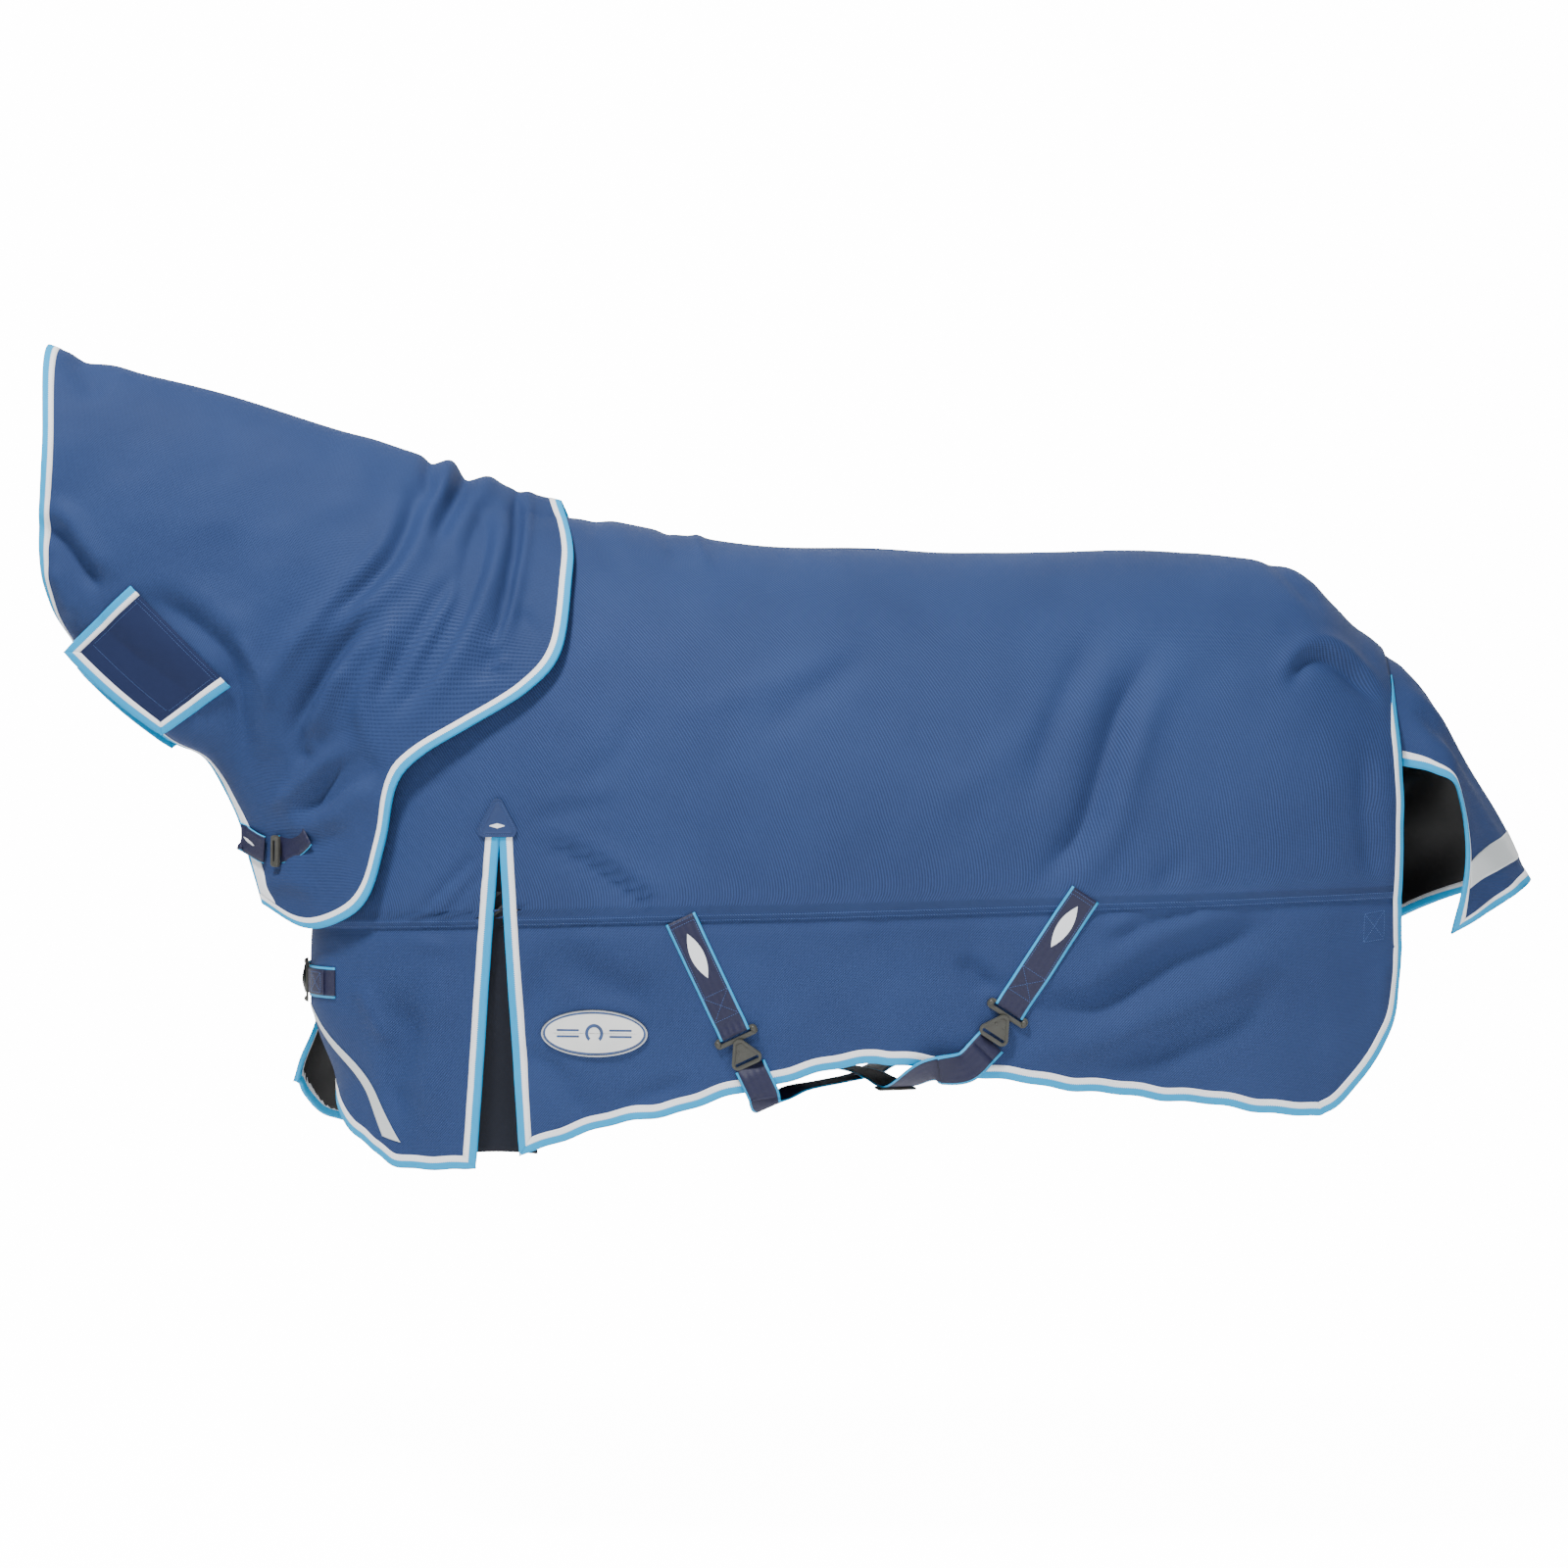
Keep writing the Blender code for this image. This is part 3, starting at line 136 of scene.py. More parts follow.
# Folds: the line they follow as (x, z), half width, height (a valley is below 0), the share of it that rises
# as a lip along the left of the line, and how soft the crease is (2 is round, 1 is sharp).
SIDE_FOLDS = (
    (((0.600, -0.140), (0.581, -0.173), (0.528, -0.257), (0.497, -0.349), (0.467, -0.441),
      (0.421, -0.500), (0.365, -0.565)), 0.020, -0.0130, 0.5, 1.6),
    (((0.520, -0.110), (0.467, -0.188), (0.421, -0.273), (0.398, -0.349),
      (0.380, -0.430)), 0.020, -0.0050, 0.5, 2.0),
    (((0.450, -0.200), (0.390, -0.288), (0.283, -0.380), (0.200, -0.430)), 0.026, 0.0035, 0.0, 2.0),
    (((-0.184, -0.250), (-0.130, -0.261), (-0.046, -0.227), (0.046, -0.196),
      (0.150, -0.150)), 0.020, 0.0040, 0.0, 2.0),
    (((-0.060, -0.320), (0.031, -0.250), (0.092, -0.204), (0.160, -0.160)), 0.022, -0.0040, 0.3, 2.0),
    (((-0.352, -0.395), (-0.275, -0.349), (-0.230, -0.288), (-0.195, -0.230)), 0.018, -0.0025, 0.5, 2.0),
    (((-0.412, -0.458), (-0.337, -0.487), (-0.298, -0.505), (-0.260, -0.533), (-0.199, -0.571),
      (-0.165, -0.590)), 0.010, -0.0060, 0.7, 1.5),
    (((-0.410, -0.440), (-0.330, -0.420), (-0.240, -0.410)), 0.012, -0.0025, 0.6, 2.0),
    (((-0.472, -0.480), (-0.528, -0.533), (-0.590, -0.594)), 0.008, -0.0045, 0.7, 1.5),
    (((-0.462, -0.500), (-0.500, -0.545), (-0.535, -0.600)), 0.008, -0.0030, 0.6, 1.6),
    (((-0.530, -0.640), (-0.551, -0.747), (-0.558, -0.854), (-0.566, -0.950)), 0.026, 0.0100, 0.0, 2.0),
    (((-0.620, -0.690), (-0.600, -0.778), (-0.625, -0.860), (-0.590, -0.950)), 0.028, -0.0110, 0.0, 2.0),
    (((-0.680, -0.690), (-0.650, -0.755), (-0.625, -0.800)), 0.014, 0.0060, 0.0, 2.0),
    (((-0.590, -0.640), (-0.560, -0.632), (-0.520, -0.645)), 0.010, 0.0040, 0.0, 2.0),
    (((-0.375, -0.625), (-0.337, -0.665), (-0.260, -0.701), (-0.180, -0.730)), 0.026, -0.0060, 0.5, 2.0),
    (((-0.380, -0.630), (-0.398, -0.747), (-0.396, -0.880)), 0.018, -0.0050, 0.4, 2.0),
    (((-0.398, -0.778), (-0.337, -0.869), (-0.300, -0.910)), 0.018, -0.0050, 0.5, 2.0),
    (((-0.130, -0.839), (-0.190, -0.860), (-0.270, -0.890)), 0.014, -0.0045, 0.4, 2.0),
    (((0.790, -0.240), (0.811, -0.205), (0.834, -0.184), (0.865, -0.184), (0.905, -0.208),
      (0.955, -0.255)), 0.011, -0.0085, 0.7, 1.8),
    (((0.800, -0.130), (0.860, -0.150), (0.930, -0.190)), 0.020, 0.0040, 0.0, 2.0),
    (((0.340, -0.728), (0.420, -0.730), (0.497, -0.724), (0.612, -0.655), (0.720, -0.612),
      (0.810, -0.590)), 0.022, -0.0100, 0.5, 1.8),
    (((0.337, -0.800), (0.474, -0.780), (0.589, -0.735), (0.719, -0.678),
      (0.820, -0.640)), 0.026, 0.0080, 0.0, 2.0),
    (((0.480, -0.825), (0.627, -0.788), (0.704, -0.755), (0.780, -0.715)), 0.022, -0.0060, 0.4, 2.0),
    (((0.490, -0.640), (0.566, -0.598), (0.670, -0.575)), 0.011, -0.0045, 0.6, 2.0),
    (((0.640, -0.480), (0.600, -0.520), (0.574, -0.556)), 0.018, -0.0035, 0.5, 2.0),
    (((0.270, -0.640), (0.300, -0.680), (0.345, -0.715)), 0.016, -0.0070, 0.5, 1.8),
    (((0.920, -0.300), (0.915, -0.420), (0.935, -0.560)), 0.016, -0.0040, 0.6, 2.0),
    (((0.955, -0.640), (0.945, -0.720), (0.955, -0.790)), 0.016, 0.0040, 0.0, 2.0),
    (((0.120, -0.590), (0.160, -0.640), (0.170, -0.720)), 0.030, -0.0030, 0.3, 2.0),
)
CREST_FOLDS = (
    (((-0.150, 0.060), (-0.140, 0.010), (-0.115, -0.050)), 0.011, 0.0050, 0.0, 1.6),
    (((-0.205, 0.070), (-0.190, 0.020), (-0.165, -0.040)), 0.012, -0.0040, 0.0, 1.6),
    (((0.780, 0.020), (0.820, -0.050), (0.870, -0.110)), 0.014, -0.0050, 0.6, 1.8),
    (((-0.330, 0.090), (-0.300, 0.020), (-0.240, -0.060)), 0.016, -0.0035, 0.5, 2.0),
)
NECK_FOLDS = (
    (((-0.600, 0.130), (-0.598, 0.085), (-0.612, 0.030), (-0.643, -0.029), (-0.706, -0.092),
      (-0.760, -0.140)), 0.014, -0.0130, 0.6, 1.7),
    (((-0.615, 0.110), (-0.640, 0.000), (-0.745, -0.115), (-0.808, -0.193),
      (-0.825, -0.270)), 0.015, 0.0100, 0.0, 1.9),
    (((-0.640, -0.095), (-0.706, -0.154), (-0.753, -0.225), (-0.812, -0.330)), 0.013, -0.0140, 0.6, 1.6),
    (((-0.618, -0.085), (-0.636, -0.178), (-0.668, -0.256), (-0.655, -0.335)), 0.010, 0.0090, 0.0, 1.8),
    (((-0.690, -0.180), (-0.722, -0.250), (-0.742, -0.320)), 0.014, 0.0070, 0.0, 2.0),
    (((-0.505, 0.110), (-0.490, 0.030), (-0.500, -0.050), (-0.530, -0.134), (-0.578, -0.217),
      (-0.630, -0.290)), 0.013, -0.0140, 0.6, 1.6),
    (((-0.515, -0.020), (-0.571, -0.115), (-0.618, -0.194), (-0.645, -0.265)), 0.010, -0.0080, 0.5, 1.8),
    (((-0.520, 0.170), (-0.522, 0.114), (-0.552, 0.046), (-0.568, -0.010)), 0.013, -0.0125, 0.4, 1.7),
    (((-0.575, 0.190), (-0.580, 0.127), (-0.574, 0.065)), 0.010, -0.0060, 0.5, 1.8),
    (((-0.548, 0.180), (-0.555, 0.100), (-0.585, 0.020)), 0.012, 0.0035, 0.0, 2.0),
    (((-0.440, 0.130), (-0.436, 0.073), (-0.432, 0.010), (-0.443, -0.084), (-0.458, -0.150),
      (-0.462, -0.185)), 0.0065, -0.0120, 0.5, 1.3),
    (((-0.452, -0.165), (-0.468, -0.190), (-0.455, -0.215)), 0.010, -0.0080, 0.8, 1.5),
    (((-0.430, -0.100), (-0.400, -0.130), (-0.375, -0.150)), 0.010, -0.0040, 0.6, 1.8),
    (((-0.690, -0.310), (-0.768, -0.380), (-0.840, -0.430)), 0.013, 0.0100, 0.0, 1.9),
    (((-0.625, -0.352), (-0.690, -0.362), (-0.737, -0.398), (-0.790, -0.450)), 0.015, -0.0120, 0.5, 1.7),
    (((-0.760, -0.290), (-0.778, -0.320), (-0.760, -0.350)), 0.012, -0.0070, 0.5, 1.8),
    (((-1.215, 0.050), (-1.175, 0.020), (-1.144, -0.022), (-1.095, -0.080)), 0.013, -0.0120, 0.6, 1.6),
    (((-1.190, -0.020), (-1.165, -0.070), (-1.150, -0.120)), 0.012, 0.0060, 0.0, 2.0),
    (((-1.050, -0.060), (-0.950, -0.125), (-0.893, -0.181), (-0.880, -0.272),
      (-0.868, -0.380)), 0.016, -0.0110, 0.4, 1.7),
    (((-1.170, 0.340), (-1.140, 0.290), (-1.110, 0.235)), 0.016, -0.0050, 0.4, 2.0),
    (((-0.890, -0.130), (-0.836, -0.209), (-0.822, -0.275)), 0.010, 0.0060, 0.0, 2.0),
    (((-0.900, 0.050), (-0.885, -0.050), (-0.870, -0.130)), 0.030, -0.0030, 0.4, 2.0),
    (((-0.700, 0.210), (-0.690, 0.120), (-0.720, 0.030)), 0.030, 0.0030, 0.0, 2.0),
    (((-0.830, -0.470), (-0.790, -0.480), (-0.740, -0.470), (-0.700, -0.430)), 0.016, -0.0060, 0.5, 2.0),
    (((-0.860, -0.560), (-0.800, -0.540), (-0.740, -0.560)), 0.014, 0.0040, 0.0, 2.0),
)


# ---------------------------------------------------------------------------------------------
# Curves, draped surfaces and folds


def smooth_line(points, count=961):
    """Evenly spaced points on a smooth curve through the given points."""
    given = np.array(points, float)
    ends = np.vstack([2 * given[0] - given[1], given, 2 * given[-1] - given[-2]])
    pieces = []
    for index in range(len(given) - 1):
        before, start, end, after = ends[index : index + 4]
        t = np.linspace(0, 1, 24, endpoint=False)[:, None]
        even = 2 * start + (end - before) * t
        bend = (2 * before - 5 * start + 4 * end - after) * t**2
        twist = (3 * start - before - 3 * end + after) * t**3
        pieces.append(0.5 * (even + bend + twist))
    dense = np.vstack([*pieces, given[-1:]])
    run = length_along(dense)
    wanted = np.linspace(0, 1, count) * run[-1]
    return np.stack([np.interp(wanted, run, column) for column in dense.T], 1)


def length_along(points):
    """Distance along a line of points, from its first point."""
    steps = np.linalg.norm(np.diff(points, axis=0), axis=1)
    return np.concatenate([[0.0], np.cumsum(steps)])


def along(line, share):
    """Points at shares of a smooth line's length."""
    place = np.clip(share, 0, 1) * (len(line) - 1)
    return np.stack([np.interp(place, np.arange(len(line)), column) for column in line.T], -1)


def smooth_step(value):
    """An even step from 0 to 1, with soft ends."""
    value = np.clip(value, 0, 1)
    return value * value * (3 - 2 * value)


TOP = smooth_line(TOPLINE)
BOTTOM = smooth_line(HEM)
ROUND = smooth_line(PLAN)
ROUND_RUN = length_along(ROUND)
GIRTH = ROUND_RUN[-1]
CREST = smooth_line(NECK_CREST)
THROAT = smooth_line(NECK_THROAT)
FACE = smooth_line(NECK_FACE_EDGE)
SHOULDER = smooth_line(NECK_SHOULDER_EDGE)
SPAN = smooth_line(SHOULDER_SPAN)
FLAP_LINE = smooth_line(FLAP_MIDDLE)
FLAP_SIDE = smooth_line(FLAP_EDGE)


def run_of(x):
    """Distance round the rug's side, from its chest edge, at a place along the horse."""
    return np.interp(x, ROUND[:, 0], ROUND_RUN)


def x_of(run):
    """Place along the horse at a run."""
    return np.interp(run, ROUND_RUN, ROUND[:, 0])


def top_at(x):
    """Height of the back at a place along the horse."""
    return np.interp(x, TOP[:, 0], TOP[:, 1])


def hem_at(run):
    """Height of the hem at a run, with the small waves of a hanging edge."""
    level = np.interp(x_of(run), BOTTOM[:, 0], BOTTOM[:, 1])
    wave = 0.0016 * np.sin(run * 41.0 + 0.7) + 0.0012 * np.sin(run * 87.0 + 2.1)
    return level + wave * smooth_step((GIRTH - run) / 0.12)


def seam_at(run):
    """Height of the belly seam at a run."""
    share = (x_of(run) - PLAN[0][0]) / (PLAN[-1][0] - PLAN[0][0])
    return SEAM_FRONT + (SEAM_REAR - SEAM_FRONT) * share


def drape(run, turn):
    """The body's smooth outer face: turn is -1 to 1 over the back, and beyond that down a side."""
    run, turn = np.broadcast_arrays(np.asarray(run, float), np.asarray(turn, float))
    half = np.interp(run, ROUND_RUN, ROUND[:, 1])
    x = x_of(run)
    angle = np.minimum(np.abs(turn), 1) * math.pi / 2
    low = WIDE - np.maximum(np.abs(turn) - 1, 0) * SIDE_DROP
    tuck = 1 - HEM_TUCK * ((WIDE - low) / HEM_TUCK_DEPTH) ** 2
    z = np.where(np.abs(turn) <= 1, WIDE + (top_at(x) - WIDE) * np.cos(angle), low)
    return np.stack([x, np.copysign(half * np.sin(angle) * tuck, turn), z], -1)


def turn_of(run, z, side):
    """The turn that reaches a height on one side."""
    over = np.arccos(np.clip((z - WIDE) / (top_at(x_of(run)) - WIDE), -1, 1)) * 2 / math.pi
    return side * np.where(z <= WIDE, 1 + (WIDE - z) / SIDE_DROP, over)


def neckline_x(turn):
    """Place along the horse of the body's neckline at a turn over the withers."""
    return NECKLINE_TOP - NECKLINE_REACH * np.minimum(1.0, np.abs(turn) / NECKLINE_TURN) ** 2.2


def shoulder_width(x, z):
    """Half width of the body under the neck cover."""
    half = np.interp(x, SPAN[:, 0], SPAN[:, 1])
    share = np.clip((z - WIDE) / (top_at(x) - WIDE), 0, 1)
    return half * np.sqrt(1 - share**2)


def neck(share, turn):
    """The neck cover's smooth outer face: share from face to shoulder, turn -1 to 1 round the neck."""
    share, turn = np.broadcast_arrays(np.asarray(share, float), np.asarray(turn, float))
    angle = turn * NECK_HALF_ANGLE
    down = (1 - np.cos(angle)) / 2
    s, d = share[..., None], down[..., None]
    across = (1 - s) * along(FACE, down) + s * along(SHOULDER, down)
    length = (1 - d) * along(CREST, share) + d * along(THROAT, share)
    corners = (1 - s) * ((1 - d) * FACE[0] + d * FACE[-1]) + s * ((1 - d) * SHOULDER[0] + d * SHOULDER[-1])
    flat = across + length - corners
    x, z = flat[..., 0], flat[..., 1]
    round_share = np.abs(np.sin(angle))
    round_share = np.where(np.abs(turn) > 0.5, (round_share**4 + THROAT_OPENING**4) ** 0.25, round_share)
    tube = NECK_HALF_WIDTH * (1 + (NECK_REAR_WIDENING - 1) * share) * round_share
    clear = shoulder_width(x, z)
    clear = clear + NECK_CLEARANCE * np.minimum(1.0, clear / 0.05)
    half = (tube**6 + clear**6) ** (1 / 6)
    return np.stack([x, np.copysign(half, angle), z], -1)


def flap(share, turn):
    """The tail flap's smooth outer face: share from dock to tip, turn -1 to 1 across it."""
    share, turn = np.broadcast_arrays(np.asarray(share, float), np.asarray(turn, float))
    middle = along(FLAP_LINE, share)
    edge = along(FLAP_SIDE, share)
    angle = np.abs(turn) * math.pi / 2
    reach = 1 - np.cos(angle)
    x = middle[..., 0] + (edge[..., 0] - middle[..., 0]) * reach
    z = middle[..., 2] + (edge[..., 2] - middle[..., 2]) * reach
    return np.stack([x, np.copysign(np.abs(edge[..., 1]) * np.sin(angle), turn), z], -1)


def outward(surface, a, b, step=0.003):
    """Unit normals of a surface at its parameters."""
    ahead = surface(a + step, b) - surface(a - step, b)
    rise = surface(a, b + step) - surface(a, b - step)
    normal = np.cross(ahead, rise)
    return normal / np.maximum(np.linalg.norm(normal, axis=-1, keepdims=True), 1e-12)


def fold(x, z, points, width, height, lip, softness):
    """Height that one fold adds at places (x, z), thinning out towards its ends."""
    line = smooth_line(points, 22)
    start = line[:-1]
    step = np.diff(line, axis=0)
    place = np.stack([x, z], -1)[..., None, :]
    share = np.clip(((place - start) * step).sum(-1) / (step**2).sum(-1), 0, 1)
    gap = place - (start + share[..., None] * step)
    distance = np.linalg.norm(gap, axis=-1)
    nearest = np.argmin(distance, axis=-1)[..., None]
    away = np.take_along_axis(distance, nearest, -1)[..., 0]
    turn = step[:, 0] * gap[..., 1] - step[:, 1] * gap[..., 0]
    away_left = away * np.sign(np.take_along_axis(turn, nearest, -1)[..., 0])
    run = (nearest[..., 0] + np.take_along_axis(share, nearest, -1)[..., 0]) / len(start)
    thin = smooth_step(np.minimum(run, 1 - run) / 0.30)
    body = np.exp(-((away / width) ** softness))
    side = np.exp(-(((away_left - 2.0 * width) / (1.1 * width)) ** 2))
    return thin * (height * body - height * lip * side)


def ripple(x, z, seed, wavelength, height):
    """Low waves in many directions, which keep a sheet from looking pressed."""
    draw = np.random.default_rng(seed)
    total = np.zeros_like(x)
    for _ in range(9):
        heading = draw.uniform(0, math.pi)
        phase = draw.uniform(0, 2 * math.pi)
        pitch = 2 * math.pi / (wavelength * draw.uniform(0.7, 1.5))
        total = total + np.sin((x * math.cos(heading) + z * math.sin(heading)) * pitch + phase)
    return total * height / 3


# Places on a side that fittings hold flat: middle (x, z) and reach (x, z).
FLAT_SPOTS = (
    ((-0.297, -0.770), (0.100, 0.050)),
    ((-0.450, -0.430), (0.050, 0.045)),
    ((-0.068, -0.790), (0.050, 0.052)),
    ((0.340, -0.748), (0.052, 0.052)),
    ((-0.748, -0.700), (0.045, 0.045)),
)


def unpinned(x, z):
    """Share of the folds' height that stays, away from the fittings."""
    left = np.ones_like(x)
    for (x0, z0), (across, up) in FLAT_SPOTS:
        away = np.hypot((x - x0) / across, (z - z0) / up)
        left = left * (0.08 + 0.92 * smooth_step((away - 0.75) / 0.6))
    return left


def fold_heights(x, z, folds, spread, width_scale=1.0, height_scale=1.0):
    """Heights of many folds together. spread widens the valleys, for a lining that passes under them."""
    total = 0.0
    for points, width, height, lip, softness in folds:
        wide, tall = width * width_scale, height * height_scale
        if spread > 1:
            wide, tall, lip = (wide * spread, tall, 0.0) if height < 0 else (wide, tall * 0.35, 0.0)
        total = total + fold(x, z, points, wide, tall, lip, softness)
    return total


def body_relief(place, spread=1.0):
    """Height of the body's folds. The far side's are moved a little, so that the sides differ."""
    x, z = place[..., 0], place[..., 2]
    far = place[..., 1] > 0
    moved_x = np.where(far, 0.97 * x + 0.022, x)
    moved_z = np.where(far, 1.015 * z, z)
    over_back = smooth_step(np.abs(place[..., 1]) / 0.05)
    relief = fold_heights(moved_x, moved_z, SIDE_FOLDS, spread, 1.1, 1.35) * over_back
    relief = relief + fold_heights(x, z, CREST_FOLDS, spread)
    relief = relief + ripple(x, z + 2.0 * far * over_back, 4, 0.30, 0.0022)
    relief = relief + ripple(x, z + 2.0 * far * over_back, 5, 0.085, 0.0005) * over_back
    relief = relief * unpinned(x, z)
    seam = np.exp(-(((z - seam_at(run_of(x))) / 0.011) ** 2))
    pucker = np.sin(x * 190 + 3 * np.sin(x * 23)) * (0.6 + 0.4 * np.sin(x * 11 + 1))
    return relief + seam * (-0.0012 + 0.0009 * pucker)


def neck_relief(place, spread=1.0):
    """Height of the neck cover's folds, kept from sinking into the body's cloth under it."""
    x, z = place[..., 0], place[..., 2]
    far = place[..., 1] > 0
    over_crest = smooth_step(np.abs(place[..., 1]) / 0.05)
    shift = 0.018 * far * over_crest
    relief = fold_heights(x + shift, z - shift, NECK_FOLDS, spread, 1.30, 1.5)
    relief = relief + ripple(x, z + far * over_crest, 6, 0.16, 0.0016) * over_crest
    relief = relief + ripple(x, z + far * over_crest, 7, 0.06, 0.0004) * over_crest
    edge = smooth_step((x + 0.372) / -0.05)
    ahead_of_body = neckline_x(turn_of(run_of(x), z, RIGHT)) - 0.075 - x
    deepest = -0.009 - 0.030 * smooth_step(ahead_of_body / 0.04)
    relief = np.maximum(relief * (0.25 + 0.75 * edge), deepest)
    return relief - (0.0025 * edge if spread > 1 else 0.0)


def flap_relief(place):
    """Height of the tail flap's soft ripples, which fade out towards the dock."""
    x, y, z = place[..., 0], place[..., 1], place[..., 2]
    droop = ripple(x, y * 1.6 + z, 8, 0.14, 0.0030) + 0.0035 * np.sin(y * 34 + z * 9)
    return droop * smooth_step((x - 0.99) / 0.06)


def chest_swing(place):
    """How far the chest panels hang apart below the strap: the left one back, the right one forward."""
    low = smooth_step((-0.735 - place[..., 2]) / 0.15)
    ahead = smooth_step((-0.60 - place[..., 0]) / 0.14)
    return low * ahead * np.where(place[..., 1] < 0, CHEST_SWING, -CHEST_SWING)


def body(run, turn, lift=0.0, spread=1.0):
    """The body's folded face, lifted by lift along its normal. spread 0 leaves the folds out."""
    place = drape(run, turn)
    lift = np.asarray(lift, float)
    relief = body_relief(place, spread) if spread else 0.0
    moved = place + outward(drape, run, turn) * (relief + lift)[..., None]
    moved[..., 0] += chest_swing(place)
    return moved


def neck_cloth(share, turn, lift=0.0, spread=1.0):
    """The neck cover's folded face, lifted by lift. spread 0 leaves the folds out."""
    place = neck(share, turn)
    lift = np.asarray(lift, float)
    relief = neck_relief(place, spread) if spread else 0.0
    return place + outward(neck, share, turn, 0.002) * (relief + lift)[..., None]


def flap_cloth(share, turn, lift=0.0):
    """The tail flap's folded face. Its far side hangs in towards the rug."""
    place = flap(share, turn)
    lift = np.asarray(lift, float)
    inwards = 0.080 * smooth_step(place[..., 1] / 0.17) * smooth_step((-0.30 - place[..., 2]) / 0.16)
    moved = place + outward(flap, share, turn) * (flap_relief(place) + lift)[..., None]
    moved[..., 0] -= inwards
    return moved


def on_side(x, z, side, lift=0.0):
    """A point of the folded side, by its place along the horse and its height."""
    x, z = np.broadcast_arrays(np.asarray(x, float), np.asarray(z, float))
    run = run_of(x)
    return body(run, turn_of(run, z, side), lift)


# ---------------------------------------------------------------------------------------------
# Modelling helpers


def select_only(thing):
    """Selects one object and makes it the active one."""
    bpy.ops.object.select_all(action="DESELECT")
    thing.select_set(True)
    bpy.context.view_layer.objects.active = thing


def shape_with(thing, kind, **settings):
    """Adds a modifier with its settings and applies it."""
    select_only(thing)
    modifier = thing.modifiers.new(kind.lower(), kind)
    for name, value in settings.items():
        setattr(modifier, name, value)
    bpy.ops.object.modifier_apply(modifier=modifier.name)


def set_material(thing, *names):
    """Gives a piece its materials, by name."""
    thing.data.materials.clear()
    for name in names:
        thing.data.materials.append(bpy.data.materials[name])


def finish_piece(thing, name, body_name, replaces=(), smooth_angle=None):
    """Names a piece, puts its place in its mesh, and says what it rides on and stands for."""
    thing.name = name
    thing.data.name = name
    thing.data.transform(thing.matrix_world)
    thing.matrix_world = Matrix.Identity(4)
    if smooth_angle is not None:
        select_only(thing)
        bpy.ops.object.shade_smooth_by_angle(angle=math.radians(smooth_angle))
    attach(thing, body_name)
    if replaces:
        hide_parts(*replaces)
    return thing


def measure_sheet(points, i, j, columns, rows):
    """Distances along both directions of a grid of points, for a weave at its true size."""
    table = np.zeros((columns + 1, rows + 1, 3))
    table[i, j] = points
    along_u = np.cumsum(np.linalg.norm(np.diff(table, axis=0, prepend=table[:1]), axis=-1), axis=0)
    along_v = np.cumsum(np.linalg.norm(np.diff(table, axis=1, prepend=table[:, :1]), axis=-1), axis=1)
    return np.stack([along_u[i, j], along_v[i, j]], -1)


def sheet_of(columns, rows, surface, thickness, hole=None, flip=False, marks=None, smooth=None):
    """A sheet laid on surface(u, v), with faces that hole(points) picks cut away, thickened inwards.

    flip turns its faces round, where v runs the other way about the outward normal. smooth is the
    same surface without its folds, on which the weave is measured.
    """
    bpy.ops.object.select_all(action="DESELECT")
    bpy.ops.mesh.primitive_grid_add(x_subdivisions=columns, y_subdivisions=rows, size=2)
    thing = bpy.context.object
    mesh = thing.data
    flat = np.empty(len(mesh.vertices) * 3, np.float32)
    mesh.vertices.foreach_get("co", flat)
    u, v = ((flat.reshape(-1, 3)[:, :2] + 1) / 2).T.astype(float)
    i, j = np.rint(u * columns).astype(int), np.rint(v * rows).astype(int)
    points = surface(i / columns, j / rows)
    mesh.vertices.foreach_set("co", points.astype(np.float32).ravel())
    if marks:
        chart = marks(i, j, points)
    else:
        chart = measure_sheet(smooth(i / columns, j / rows) if smooth else points, i, j, columns, rows)
    corner = np.empty(len(mesh.loops), np.int32)
    mesh.loops.foreach_get("vertex_index", corner)
    mesh.uv_layers.active.name = "cloth"
    mesh.uv_layers["cloth"].data.foreach_set("uv", chart[corner].astype(np.float32).ravel())
    mesh.update()
    if flip:
        mesh.flip_normals()
    if hole is not None:
        gone = hole(np.array([face.center for face in mesh.polygons]))
        shape = bmesh.new()
        shape.from_mesh(mesh)
        shape.faces.ensure_lookup_table()
        bmesh.ops.delete(shape, geom=[shape.faces[index] for index in np.flatnonzero(gone)], context="FACES")
        shape.to_mesh(mesh)
        shape.free()
    if thickness:
        shape_with(thing, "SOLIDIFY", thickness=thickness, offset=-1, use_rim=True)
    select_only(thing)
    bpy.ops.object.shade_smooth()
    return thing


def rounded(corners, radius, steps=4):
    """A closed outline with its corners rounded."""
    outline = []
    for index in range(len(corners)):
        before, corner = Vector(corners[index - 1]), Vector(corners[index])
        after = Vector(corners[(index + 1) % len(corners)])
        back, ahead = (before - corner).normalized(), (after - corner).normalized()
        half = back.angle(ahead) / 2
        centre = corner + (back + ahead).normalized() * radius / math.sin(half)
        start = corner + back * radius / math.tan(half) - centre
        end = corner + ahead * radius / math.tan(half) - centre
        for step in range(steps + 1):
            outline.append(centre + start.lerp(end, step / steps).normalized() * radius)
    return outline


def box_outline(width, height, middle=(0.0, 0.0)):
    """Corners of a rectangle about its middle."""
    x, y = middle
    across, up = width / 2, height / 2
    return [(x - across, y - up), (x + across, y - up), (x + across, y + up), (x - across, y + up)]


def oval(length, height, count=72):
    """Outline of an oval."""
    turns = [2 * math.pi * index / count for index in range(count)]
    return [Vector((length / 2 * math.cos(turn), height / 2 * math.sin(turn))) for turn in turns]


